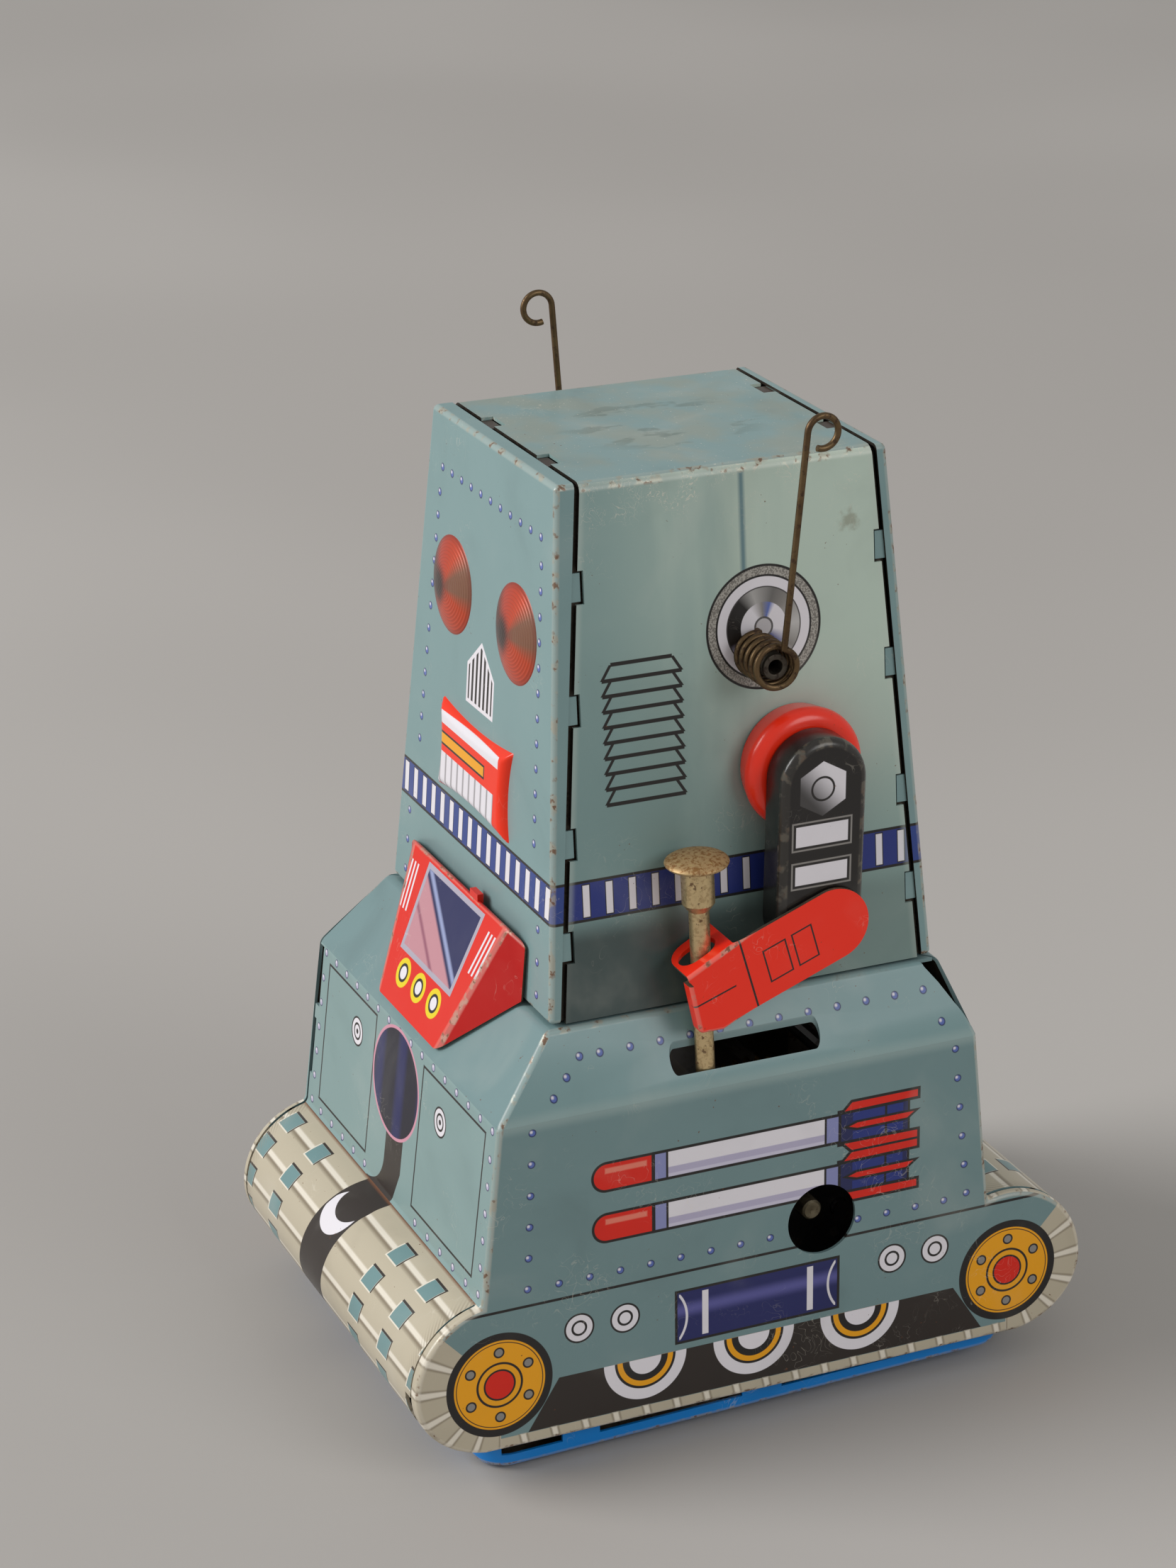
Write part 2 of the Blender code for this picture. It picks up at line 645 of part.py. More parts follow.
def tray_surface(sign):
    """Open tray at one end of the head: a tapered panel with its edges turned towards the wrap."""
    shape = bmesh.new()
    corners = []
    for x, y, z in (
        (-HEAD_BASE_HALF_WIDTH, HEAD_BASE_HALF_LENGTH, HEAD_BASE_Z),
        (HEAD_BASE_HALF_WIDTH, HEAD_BASE_HALF_LENGTH, HEAD_BASE_Z),
        (HEAD_TOP_HALF_WIDTH, HEAD_TOP_HALF_LENGTH, HEAD_TOP_Z),
        (-HEAD_TOP_HALF_WIDTH, HEAD_TOP_HALF_LENGTH, HEAD_TOP_Z),
    ):
        corners.append(shape.verts.new((x, sign * (y + FIT + TRAY_DEPTH), z)))
    panel = shape.faces.new(corners)
    walls = bmesh.ops.extrude_edge_only(shape, edges=list(panel.edges))
    back = [part for part in walls["geom"] if isinstance(part, bmesh.types.BMVert)]
    bmesh.ops.translate(shape, verts=back, vec=(0, -sign * TRAY_DEPTH, 0))
    return shape


def build_tray(name, sign):
    mesh = to_mesh(name, tray_surface(sign))
    tray = place(name, mesh, "grey_blue")
    if mesh.polygons[0].normal.y * sign < 0:
        mesh.flip_normals()
    fold(tray, TRAY_BEND, SHEET)
    for index, (low, high, side, z) in enumerate(tab_boxes(sign, False)):
        combine(tray, tab_object(f"{name}_tab_{index}", low, high, side, z), "UNION")
    return tray


def dome(name, x, z, radius, rise, back):
    """A lens standing on the face plane, with its flat side sunk by back."""
    ball = (radius * radius + rise * rise) / (2 * rise)
    tilt = math.atan2(HEAD_BASE_HALF_LENGTH - HEAD_TOP_HALF_LENGTH, HEAD_TOP_Z - HEAD_BASE_Z)
    angle = math.asin(radius / ball)
    crown = [(ball * math.sin(angle * i / 4), ball * math.cos(angle * i / 4) - ball + rise) for i in range(5)]
    made = spun(name, crown + [(radius, -back), (0, -back)], steps=FINE_ROUND)
    made.location = (x, face_y(z), z)
    made.rotation_euler = (math.radians(90) - tilt, 0, 0)
    return made


def mouth_block(name, inset, front, back):
    """A tapered block through the face plane in the outline of the mouth."""
    low, high = MOUTH_LOW_Z + inset, MOUTH_HIGH_Z - inset
    half = MOUTH_HALF_WIDTH - inset
    made = box(name, (-half, 0, 0), (half, 1, high - low))
    for vertex in made.data.vertices:
        near = front if vertex.co.y < 0.5 else back
        vertex.co.y = face_y(low + vertex.co.z) + near
        vertex.co.z += low
    bevel = made.modifiers.new("edges", "BEVEL")
    bevel.width = MOUTH_BEND
    bevel.segments = 2
    return made


def build_head():
    build_wrap()
    face = build_tray("face_tray", -1)
    for side in (1, -1):
        combine(face, dome(f"eye_{side}", side * EYE_X, EYE_Z, EYE_RADIUS, EYE_RISE, SHEET / 2), "UNION")
    combine(face, mouth_block("mouth", 0, -MOUTH_RISE, SHEET / 2), "UNION")
    for side in (1, -1):
        hollow = dome(f"eye_hollow_{side}", side * EYE_X, EYE_Z, EYE_RADIUS - SHEET, EYE_RISE, TRAY_DEPTH)
        hollow.location.y += SHEET
        combine(face, hollow)
    combine(face, mouth_block("mouth_hollow", SHEET, SHEET - MOUTH_RISE, TRAY_DEPTH))
    build_tray("rear_tray", 1)


# Console
def build_console():
    rear_low_y = face_y(HEAD_BASE_Z) - 2 * FIT
    rear_low_z = deck_z(rear_low_y) + 2 * FIT
    foot_z = deck_z(CONSOLE_FOOT_Y) + 3 * FIT
    rear_top_y = face_y(CONSOLE_REAR_TOP_Z) - 2 * FIT
    shape = bmesh.new()
    left, right = [], []
    for side, row in ((1, left), (-1, right)):
        for x, y, z in (
            (CONSOLE_FOOT_HALF_WIDTH, CONSOLE_FOOT_Y, foot_z),
            (CONSOLE_TOP_HALF_WIDTH, CONSOLE_TOP_Y, CONSOLE_TOP_Z),
            (CONSOLE_REAR_HALF_WIDTH, rear_top_y, CONSOLE_REAR_TOP_Z),
            (CONSOLE_REAR_HALF_WIDTH, rear_low_y, rear_low_z),
        ):
            row.append(shape.verts.new((side * x, y, z)))
    shape.faces.new((right[0], left[0], left[1], right[1]))
    shape.faces.new((right[1], left[1], left[2], right[2]))
    shape.faces.new((left[0], left[3], left[2], left[1]))
    shape.faces.new((right[0], right[1], right[2], right[3]))
    mesh = to_mesh("console_box", shape)
    console = place("console_box", mesh, "red")
    if mesh.polygons[0].normal.y > 0:
        mesh.flip_normals()
    fold(console, TRAY_BEND, SHEET, angle=15)


# Arms
def forearm_outline():
    """Outer face of forearm and hand, (y, z): round elbow end, straight band, deeper hand at the front."""
    end = (FOREARM_END_Y, FOREARM_END_Z)
    slope = math.degrees(FOREARM_SLOPE)
    forward = Vector((-math.cos(FOREARM_SLOPE), -math.sin(FOREARM_SLOPE)))
    upward = Vector((-math.sin(FOREARM_SLOPE), math.cos(FOREARM_SLOPE)))

    def along(distance, height):
        return tuple(Vector(end) + forward * distance + upward * height)

    elbow = arc(end, (FOREARM_RADIUS, FOREARM_RADIUS), slope - 90, slope + 90, 10)
    top = [along(HAND_REAR, FOREARM_RADIUS), along(HAND_FRONT, FOREARM_RADIUS - HAND_DROP / 4)]
    front_top, front_low = Vector(top[1]), Vector(along(HAND_FRONT + HAND_CHIN, -FOREARM_RADIUS + HAND_CHIN / 2))
    low = [tuple(front_top.lerp(front_low, 0.18)), tuple(front_low),
           along(HAND_FRONT - HAND_DROP / 2, -FOREARM_RADIUS - HAND_CHIN / 2), along(HAND_REAR, -FOREARM_RADIUS)]
    return elbow, top, low


def build_forearm(name, side):
    elbow, top, low = forearm_outline()
    shape = bmesh.new()
    outline = [shape.verts.new((side * FOREARM_FRONT_X, y, z)) for y, z in elbow + top + low]
    shape.faces.new(outline)
    rear_top, front_top, front_mid, front_low, chin, rear_low = outline[-6:]

    def flange(depth, *corners):
        """Turns the edges along a run of points inwards by depth."""
        edges = [shape.edges.get(pair) for pair in zip(corners, corners[1:])]
        wall = bmesh.ops.extrude_edge_only(shape, edges=edges)
        moved = [part for part in wall["geom"] if isinstance(part, bmesh.types.BMVert)]
        bmesh.ops.translate(shape, verts=moved, vec=(-side * depth, 0, 0))

    flange(HAND_REACH_IN, rear_top, front_top)
    flange(HAND_FLANGE, front_mid, front_low, chin, rear_low)
    mesh = to_mesh(name, shape)
    if mesh.polygons[0].normal.x * side < 0:
        mesh.flip_normals()
    forearm = place(name, mesh, "red")
    fold(forearm, FOREARM_WALL, FOREARM_WALL, angle=40)
    hand = lever_point(top_flange_height())
    reach = (HAND_HOLE_LENGTH - HAND_HOLE_WIDTH) / 2
    ends = ((side * LEVER_X, hand[0] - reach - FIT), (side * LEVER_X, hand[0] + reach - FIT))
    hole = capsule(*ends, HAND_HOLE_WIDTH / 2)
    combine(forearm, prism(f"{name}_hole", hole, hand[1] - 3 * HAND_FLANGE, hand[1] + 3 * HAND_FLANGE, "Z"))
    turn_origin(forearm, SHOULDER)


def lever_point(height):
    """The lever's axis at a height above the rocker shaft, as (y, z)."""
    return (ROCKER_Y - height * math.tan(LEVER_LEAN), ROCKER_Z + height)


def top_flange_height():
    """Height of the hand's top flange above the rocker shaft, at the lever."""
    middle = (HAND_FRONT + HAND_REAR) / 2
    rise = -middle * math.sin(FOREARM_SLOPE) + FOREARM_RADIUS * math.cos(FOREARM_SLOPE)
    return FOREARM_END_Z + rise - ROCKER_Z


def turn_origin(made, pivot):
    """Moves an object's origin to its pivot line (y, z) and leaves its shape where it is."""
    made.data.transform(Matrix.Translation((0, -pivot[0], -pivot[1])))
    made.location = (0, *pivot)


def build_arm(label, side):
    shape = bmesh.new()
    outline = capsule(SHOULDER, (ELBOW_Y, ELBOW_Z), ARM_HALF_WIDTH, 10)
    panel = shape.faces.new([shape.verts.new((side * ARM_FRONT_X, y, z)) for y, z in outline])
    walls = bmesh.ops.extrude_edge_only(shape, edges=list(panel.edges))
    back = [part for part in walls["geom"] if isinstance(part, bmesh.types.BMVert)]
    bmesh.ops.translate(shape, verts=back, vec=(-side * ARM_DEPTH, 0, 0))
    name = f"upper_arm_{label}"
    mesh = to_mesh(name, shape)
    if mesh.polygons[0].normal.x * side < 0:
        mesh.flip_normals()
    upper = place(name, mesh, "black")
    fold(upper, ARM_BEND, ARM_WALL, angle=40)
    turn_origin(upper, SHOULDER)
    build_forearm(f"forearm_{label}", side)

    pin_out = ARM_FRONT_X - ARM_WALL - FIT
    pin_in = head_x(SHOULDER_Z + PIN_HEAD_RADIUS) - SHEET - 2 * FIT
    profile = [
        (0, pin_out), (PIN_FLANGE_RADIUS, pin_out), (PIN_FLANGE_RADIUS, pin_out - PIN_HEAD_THICKNESS),
        (PIN_RADIUS, pin_out - PIN_HEAD_THICKNESS), (PIN_RADIUS, pin_in), (PIN_HEAD_RADIUS, pin_in),
        (PIN_HEAD_RADIUS, pin_in - PIN_HEAD_THICKNESS), (0, pin_in - PIN_HEAD_THICKNESS),
    ]
    faced_turn(f"shoulder_pin_{label}", profile, SHOULDER, side, "steel")

    round_centre = (BOSS_RADIUS - BOSS_ROUND, BOSS_OUT_X - BOSS_ROUND)
    crown = arc(round_centre, (BOSS_ROUND, BOSS_ROUND), 90, 0, 4)
    root = HEAD_TOP_HALF_WIDTH
    bore = PIN_RADIUS + FIT
    profile = [(bore, BOSS_OUT_X), *crown, (BOSS_FOOT_RADIUS, root), (bore, root), (bore, BOSS_OUT_X)]
    boss = faced_turn(f"shoulder_boss_{label}", profile, SHOULDER, side, "red")
    combine(boss, HEAD_SPACE)


def faced_turn(name, profile, centre, side, finish, steps=ROUND):
    """A turned piece whose outer end faces the toy's left (side 1) or right (side -1)."""
    made = turned(name, profile, centre, finish, steps)
    if side < 0:
        made.rotation_euler = (0, math.radians(-90), 0)
    return made


def head_space():
    """The head's outer form grown by the clearance, for cutting what sits against its sides."""
    shape = bmesh.new()
    bmesh.ops.create_cube(shape, size=2)
    for vertex in shape.verts:
        high = vertex.co.z > 0
        half = (HEAD_TOP_HALF_WIDTH if high else HEAD_BASE_HALF_WIDTH) + FIT
        z = HEAD_TOP_Z if high else HEAD_BASE_Z
        vertex.co = (vertex.co.x * half, vertex.co.y * HEAD_BASE_HALF_LENGTH, z)
    return place("head_space", to_mesh("head_space", shape))


# Levers and rocker
def build_lever(label, side):
    name = f"lever_{label}"
    neck = LEVER_LENGTH - LEVER_HEAD_THICKNESS
    collar = neck - LEVER_COLLAR_LENGTH
    taper = LEVER_COLLAR_RADIUS - LEVER_RADIUS
    profile = [
        (0, LEVER_LENGTH), (LEVER_HEAD_RADIUS * 0.6, LEVER_LENGTH - LEVER_HEAD_THICKNESS * 0.16),
        (LEVER_HEAD_RADIUS * 0.93, LEVER_LENGTH - LEVER_HEAD_THICKNESS * 0.42),
        (LEVER_HEAD_RADIUS, LEVER_LENGTH - LEVER_HEAD_THICKNESS * 0.68),
        (LEVER_HEAD_RADIUS * 0.9, neck), (LEVER_COLLAR_RADIUS, neck),
        (LEVER_COLLAR_RADIUS, collar + taper), (LEVER_RADIUS, collar), (LEVER_RADIUS, LEVER_BLADE_LENGTH),
        (0, LEVER_BLADE_LENGTH),
    ]
    lever = spun(name, profile, "brass")
    lever.location = (side * LEVER_X, ROCKER_Y, ROCKER_Z)
    lever.rotation_euler = (LEVER_LEAN, 0, 0)

    shape = bmesh.new()
    bmesh.ops.create_cone(shape, cap_ends=True, segments=12, radius1=1, radius2=1, depth=1)
    bmesh.ops.scale(shape, verts=shape.verts, vec=(LEVER_BLADE_THICKNESS / 2, LEVER_RADIUS, LEVER_BLADE_LENGTH))
    bmesh.ops.translate(shape, verts=shape.verts, vec=(0, 0, LEVER_BLADE_LENGTH / 2 + LEVER_RADIUS / 2))
    blade = place(f"{name}_blade", to_mesh(f"{name}_blade", shape))
    blade.location = lever.location
    blade.rotation_euler = lever.rotation_euler
    combine(lever, blade, "UNION")
    half = LEVER_BLADE_THICKNESS / 2
    ends = sorted((side * LEVER_X - half, side * LEVER_X + half))
    combine(lever, rod(f"{name}_eye", LEVER_EYE_RADIUS, ends[0] - FIT, ends[1] + FIT, ROCKER), "UNION")
    drill(lever, ROCKER_SHAFT_RADIUS + FIT / 2, ends[0] - BEND, ends[1] + BEND, ROCKER)


def build_rocker():
    reach = LEVER_X + LEVER_BLADE_THICKNESS
    rod("rocker_shaft", ROCKER_SHAFT_RADIUS, -reach, reach, ROCKER, "steel")
    heading = direction(ROCKER, SECOND) + ROCKER_TILT
    span = math.dist(ROCKER, SECOND)
    tip = polar(ROCKER, span + CRANK_RADIUS + ROCKER_ARM_WIDTH, heading)
    inner = -CRANK_PIN_END_X - FIT
    outer = inner - ROCKER_ARM_THICKNESS
    arm = prism("rocker_arm", capsule(ROCKER, tip, ROCKER_ARM_WIDTH / 2), outer, inner, finish="steel")
    drill(arm, ROCKER_SHAFT_RADIUS + FIT / 2, outer - BEND, inner + BEND, ROCKER)
    near = polar(ROCKER, span - 2 * CRANK_RADIUS, heading)
    far = polar(ROCKER, span + 2 * CRANK_RADIUS, heading)
    slot = capsule(near, far, CRANK_PIN_RADIUS + FIT)
    combine(arm, prism("rocker_arm_slot", slot, outer - BEND, inner + BEND))
    turn_origin(arm, ROCKER)


# Antennas
def antenna_points(mast, lean, end_angle):
    """Wire path about the coil's own axis, along local X: tail, coil, mast, end loop."""
    start = end_angle - COIL_TURNS * 2 * math.pi
    points = []
    for i in range(COIL_TURNS * COIL_POINTS + 1):
        angle = start + 2 * math.pi * i / COIL_POINTS
        x = WIRE_RADIUS * 2 + COIL_PITCH * i / COIL_POINTS
        points.append(Vector((x, COIL_RADIUS * math.cos(angle), COIL_RADIUS * math.sin(angle))))
    tail = Vector((0, points[0].y, points[0].z))
    lift = Vector((0, math.sin(lean), math.cos(lean)))
    back = Vector((0, math.cos(lean), -math.sin(lean)))
    rise = [points[-1] + lift * mast * share for share in (0.08, 0.5, 1)]
    centre = rise[-1] + back * LOOP_RADIUS
    loop = []
    for i in range(1, LOOP_POINTS + 1):
        angle = LOOP_TURN * i / LOOP_POINTS
        loop.append(centre - back * LOOP_RADIUS * math.cos(angle) + lift * LOOP_RADIUS * math.sin(angle))
    return [tail] + points + rise + loop


def least_self_gap(points):
    """Smallest gap between stretches of the wire that are not neighbours along it."""
    near = math.pi * COIL_RADIUS
    runs = [0]
    for first, second in zip(points, points[1:]):
        runs.append(runs[-1] + (second - first).length)
    gaps = [
        (points[i] - points[j]).length - 2 * WIRE_RADIUS
        for i in range(len(points)) for j in range(i) if runs[i] - runs[j] > near
    ]
    return min(gaps)


def build_antenna(label, side):
    name = f"antenna_{label}"
    points = antenna_points(MAST_LENGTH[label], MAST_LEAN[label], COIL_END_ANGLE[label])
    print(f"{name}: least gap of the wire to itself {least_self_gap(points) * 1000:.2f} mm")
    curve = bpy.data.curves.new(name, "CURVE")
    curve.dimensions = "3D"
    curve.bevel_depth = WIRE_RADIUS
    curve.bevel_resolution = 1
    curve.use_fill_caps = True
    spline = curve.splines.new("POLY")
    spline.points.add(len(points) - 1)
    for spot, point in zip(spline.points, points):
        spot.co = (side * point.x, side * point.y, point.z, 1)
    made = bpy.data.objects.new(name, curve)
    TOY.objects.link(made)
    curve.materials.append(TIN["wire"])
    root = head_x(COIL_Z - COIL_RADIUS - WIRE_RADIUS) + FIT
    made.location = (side * root, COIL_Y, COIL_Z)

    tip = root + COIL_TURNS * COIL_PITCH
    wall = head_x(COIL_Z + STUD_HEAD_RADIUS) - SHEET - FIT
    profile = [
        (STUD_BORE, tip), (STUD_RADIUS, tip), (STUD_RADIUS, wall), (STUD_HEAD_RADIUS, wall),
        (STUD_HEAD_RADIUS, wall - STUD_HEAD_THICKNESS), (STUD_BORE, wall - STUD_HEAD_THICKNESS), (STUD_BORE, tip),
    ]
    faced_turn(f"antenna_stud_{label}", profile, (COIL_Y, COIL_Z), side, "wire")


# Clockwork
def gear_outline(teeth, centre, facing, gap=False):
    """Outline of a spur gear, with a tooth, or a gap, on the line at the angle facing."""
    pitch = 2 * math.pi / teeth
    radius = MODULE * teeth / 2
    root, tip = radius - MODULE, radius + TOOTH_ADDENDUM * MODULE
    start = facing + (pitch / 2 if gap else 0)
    wide, narrow = TOOTH_ROOT_SHARE / 2, TOOTH_TIP_SHARE / 2
    points = []
    for tooth in range(teeth):
        middle = start + tooth * pitch
        for reach, share in ((root, -wide), (tip, -narrow), (tip, narrow), (root, wide)):
            points.append(polar(centre, reach, middle + share * pitch))
    return points


def gear(name, teeth, centre, facing, middle, thickness, bore, gap=False):
    outline = gear_outline(teeth, centre, facing, gap)
    made = prism(name, outline, middle - thickness / 2, middle + thickness / 2, finish="gear")
    drill(made, bore, middle - thickness, middle + thickness, centre, steps=12)
    turn_origin(made, centre)
    return made


def ratchet_outline():
    points = []
    for tooth in range(RATCHET_TEETH):
        angle = 2 * math.pi * tooth / RATCHET_TEETH
        points.append(polar(WINDING, RATCHET_RADIUS, angle))
        points.append(polar(WINDING, RATCHET_ROOT_RADIUS, angle + 0.1 * math.pi / RATCHET_TEETH))
    return points


def spring_outline():
    """Mainspring seen from the end: one ribbon wound outwards, drawn as its two edges."""
    inner = ARBOR_RADIUS + FIT + SPRING_THICKNESS / 2
    count = SPRING_TURNS * 18
    line = []
    for i in range(count + 1):
        share = i / count
        radius = inner + (SPRING_OUTER_RADIUS - inner) * share
        line.append((radius, 2 * math.pi * SPRING_TURNS * share))
    outside = [polar(WINDING, radius + SPRING_THICKNESS / 2, angle) for radius, angle in line]
    inside = [polar(WINDING, radius - SPRING_THICKNESS / 2, angle) for radius, angle in line]
    return outside + inside[::-1]


def plate_outline():
    front, rear = FRONT_AXLE_Y - 4 * AXLE_RADIUS, PILLARS["lower_rear"][0] + 2 * PILLAR_RADIUS
    top = max(PILLARS["upper_front"][1], PILLARS["upper_rear"][1])
    edge = 2 * PILLAR_RADIUS
    back = PILLARS["upper_rear"]
    ahead = PILLARS["upper_front"]
    return [
        (front, base_top_z(front) + FIT),
        (rear, base_top_z(rear) + FIT),
        (rear, PILLARS["lower_rear"][1] + edge),
        (max(back[0] + edge, SECOND[0] + edge), SECOND[1]),
        (back[0] + edge, back[1]),
        (back[0], back[1] + edge),
        (ahead[0], top + edge),
        (ahead[0] - edge, ahead[1]),
        (ahead[0] - edge, ROCKER_Z + 2 * edge),
        (ROCKER_Y - edge, ROCKER_Z + edge),
        (front, WHEEL_RADIUS + edge),
    ]


def build_plates():
    for label, side in SIDES.items():
        ends = sorted((side * PLATE_X, side * (PLATE_X + PLATE_THICKNESS)))
        plate = prism(f"motor_plate_{label}", plate_outline(), *ends, finish="steel")
        reach = (ends[0] - BEND, ends[1] + BEND)
        for radius, centre in (
            (AXLE_RADIUS, REAR_AXLE), (AXLE_RADIUS, FRONT_AXLE), (AXLE_RADIUS, SECOND),
            (ARBOR_RADIUS, WINDING), (ROCKER_SHAFT_RADIUS, ROCKER),
        ):
            drill(plate, radius + FIT / 2, *reach, centre, steps=16)
        for centre in PILLARS.values():
            drill(plate, PILLAR_NECK_RADIUS + FIT / 2, *reach, centre, steps=12)
    shoulder = PLATE_X - FIT / 2
    end = PLATE_X + PLATE_THICKNESS + FIT
    neck = PILLAR_NECK_RADIUS
    for label, centre in PILLARS.items():
        profile = [
            (0, end), (neck, end), (neck, shoulder), (PILLAR_RADIUS, shoulder),
            (PILLAR_RADIUS, -shoulder), (neck, -shoulder), (neck, -end), (0, -end),
        ]
        turned(f"pillar_{label}", profile, centre, "steel", steps=12)


def build_train():
    to_second = direction(WINDING, SECOND)
    to_drive = direction(SECOND, REAR_AXLE)
    gear("great_wheel", GREAT_TEETH, WINDING, to_second, GEAR_X, GEAR_THICKNESS, ARBOR_RADIUS + FIT / 2)
    gear("second_pinion", SECOND_PINION_TEETH, SECOND, to_second + math.pi, GEAR_X, PINION_THICKNESS,
         AXLE_RADIUS + FIT / 2, gap=True)
    gear("second_wheel", SECOND_WHEEL_TEETH, SECOND, to_drive, -GEAR_X, GEAR_THICKNESS, AXLE_RADIUS + FIT / 2)
    gear("drive_pinion", DRIVE_PINION_TEETH, REAR_AXLE, to_drive + math.pi, -GEAR_X, PINION_THICKNESS,
         AXLE_RADIUS + FIT / 2, gap=True)

    ratchet_out = GEAR_X - GEAR_THICKNESS / 2 - FIT
    ratchet_in = ratchet_out - GEAR_THICKNESS
    ratchet = prism("ratchet_wheel", ratchet_outline(), ratchet_in, ratchet_out, finish="steel")
    drill(ratchet, ARBOR_RADIUS + FIT / 2, ratchet_in - BEND, ratchet_out + BEND, WINDING, steps=16)
    turn_origin(ratchet, WINDING)
    pivot = polar(WINDING, RATCHET_RADIUS + ARBOR_RADIUS + 3 * FIT, CLICK_PIVOT_ANGLE)
    nose = polar(WINDING, RATCHET_RADIUS + 2 * FIT, CLICK_NOSE_ANGLE)
    click = [polar(pivot, ARBOR_RADIUS, math.radians(a)) for a in range(60, 260, 25)] + [nose]
    turn_origin(prism("ratchet_click", click, ratchet_in, ratchet_out, finish="steel"), WINDING)

    spring_out = ratchet_in - FIT
    prism("mainspring", spring_outline(), spring_out - 2 * SPRING_HALF_WIDTH, spring_out, finish="steel")

    end = PLATE_X + PLATE_THICKNESS + 2 * FIT
    arbor = rod("winding_arbor", ARBOR_RADIUS, -end, KEY_END_X - KEY_SQUARE_LENGTH, WINDING, "steel")
    half = KEY_SQUARE / 2
    low = (KEY_END_X - KEY_SQUARE_LENGTH - BEND, WINDING[0] - half, WINDING[1] - half)
    combine(arbor, box("key_square", low, (KEY_END_X, WINDING[0] + half, WINDING[1] + half)), "UNION")

    rod("second_arbor", AXLE_RADIUS, -CRANK_DISC_X, end, SECOND, "steel", steps=14)
    disc = rod("crank_disc", CRANK_DISC_RADIUS, -CRANK_DISC_X - GEAR_THICKNESS - FIT, -CRANK_DISC_X - FIT,
               SECOND, "steel")
    spot = polar(SECOND, CRANK_RADIUS, direction(ROCKER, SECOND) + CRANK_REST_ANGLE)
    pin = rod("crank_pin", CRANK_PIN_RADIUS, -CRANK_PIN_END_X, -CRANK_DISC_X - GEAR_THICKNESS, spot, steps=12)
    combine(disc, pin, "UNION")


def build_wheels():
    hub, rim = WHEEL_HUB_RADIUS, WHEEL_RIM_RADIUS
    edge, dish = WHEEL_EDGE, WHEEL_DISH
    half = WHEEL_WIDTH / 2
    for end, centre in (("rear", REAR_AXLE), ("front", FRONT_AXLE)):
        name = "drive_axle" if end == "rear" else "front_axle"
        reach = WHEEL_X + half + FIT
        rod(name, AXLE_RADIUS, -reach, reach, centre, "steel", steps=14)
        for label, side in SIDES.items():
            bore = AXLE_RADIUS + FIT / 2
            out, near = WHEEL_X + half, WHEEL_X - half
            profile = [
                (bore, out), (hub, out), (hub, out - dish), (rim, out - dish), (rim, out),
                (WHEEL_RADIUS - edge, out), (WHEEL_RADIUS, out - edge), (WHEEL_RADIUS, near + edge),
                (WHEEL_RADIUS - edge, near), (bore, near), (bore, out),
            ]
            faced_turn(f"{end}_wheel_{label}", profile, centre, side, "wheel", FINE_ROUND)


CRANK_DISC_X = PLATE_X + PLATE_THICKNESS + 2 * FIT
CRANK_PIN_END_X = CRANK_DISC_X + GEAR_THICKNESS + 5 * FIT
HEAD_SPACE = head_space()

build_hull()
build_base()
build_head()
build_console()
for arm_label, arm_side in SIDES.items():
    build_arm(arm_label, arm_side)
    build_lever(arm_label, arm_side)
    build_antenna(arm_label, arm_side)
build_rocker()
build_plates()
build_train()
build_wheels()
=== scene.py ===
import math
from functools import reduce

import bmesh
import bpy
import numpy as np
from mathutils import Matrix, Vector


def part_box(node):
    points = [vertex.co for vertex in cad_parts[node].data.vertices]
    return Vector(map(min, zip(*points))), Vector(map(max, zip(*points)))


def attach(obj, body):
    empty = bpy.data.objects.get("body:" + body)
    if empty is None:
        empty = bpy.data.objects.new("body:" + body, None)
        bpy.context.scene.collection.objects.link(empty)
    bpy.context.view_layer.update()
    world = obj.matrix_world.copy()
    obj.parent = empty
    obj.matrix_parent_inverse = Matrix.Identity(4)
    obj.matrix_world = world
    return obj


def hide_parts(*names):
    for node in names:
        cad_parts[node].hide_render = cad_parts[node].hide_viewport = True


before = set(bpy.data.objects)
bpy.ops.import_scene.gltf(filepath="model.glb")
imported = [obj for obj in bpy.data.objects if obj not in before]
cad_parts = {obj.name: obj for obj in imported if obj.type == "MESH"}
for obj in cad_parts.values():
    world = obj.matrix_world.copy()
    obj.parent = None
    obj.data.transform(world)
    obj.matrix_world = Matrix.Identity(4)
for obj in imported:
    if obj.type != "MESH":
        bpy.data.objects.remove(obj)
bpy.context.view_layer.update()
scene = bpy.context.scene
mm = 0.001
sides = {"left": 1, "right": -1}  # the robot's own left is +X, it looks along -Y


def tint(red, green, blue):
    # a colour as it is seen, 0 to 255, turned into the linear one that a shader takes
    seen = np.array([red, green, blue]) / 255
    linear = np.where(seen <= 0.04045, seen / 12.92, ((seen + 0.055) / 1.055) ** 2.4)
    return (*linear.tolist(), 1.0)


inks = {
    # the second ground is a darker copy of the first, for the hull's sides and deck: painted shade
    "ground": tint(127, 156, 157), "groundShaded": tint(117, 144, 146), "teal": tint(112, 146, 148),
    "shade": tint(0, 0, 0), "black": tint(34, 31, 30), "soot": tint(48, 41, 37), "grey": tint(142, 138, 134),
    "navy": tint(36, 41, 88), "royal": tint(40, 54, 128), "sky": tint(92, 112, 182),
    "lilac": tint(186, 180, 206),
    "white": tint(234, 230, 236), "bloom": (0.8, 0.78, 0.7, 1.0), "yellow": tint(244, 168, 18),
    "red": tint(224, 34, 14), "redLight": tint(236, 128, 108), "pink": tint(214, 150, 170),
    "tan": tint(192, 182, 160), "tanLight": tint(232, 224, 208), "tanDeep": tint(140, 128, 108),
    "tin": tint(186, 176, 156), "rust": tint(112, 70, 42),
}


# Shader maths: one wrapper for sockets, one for a material's tree

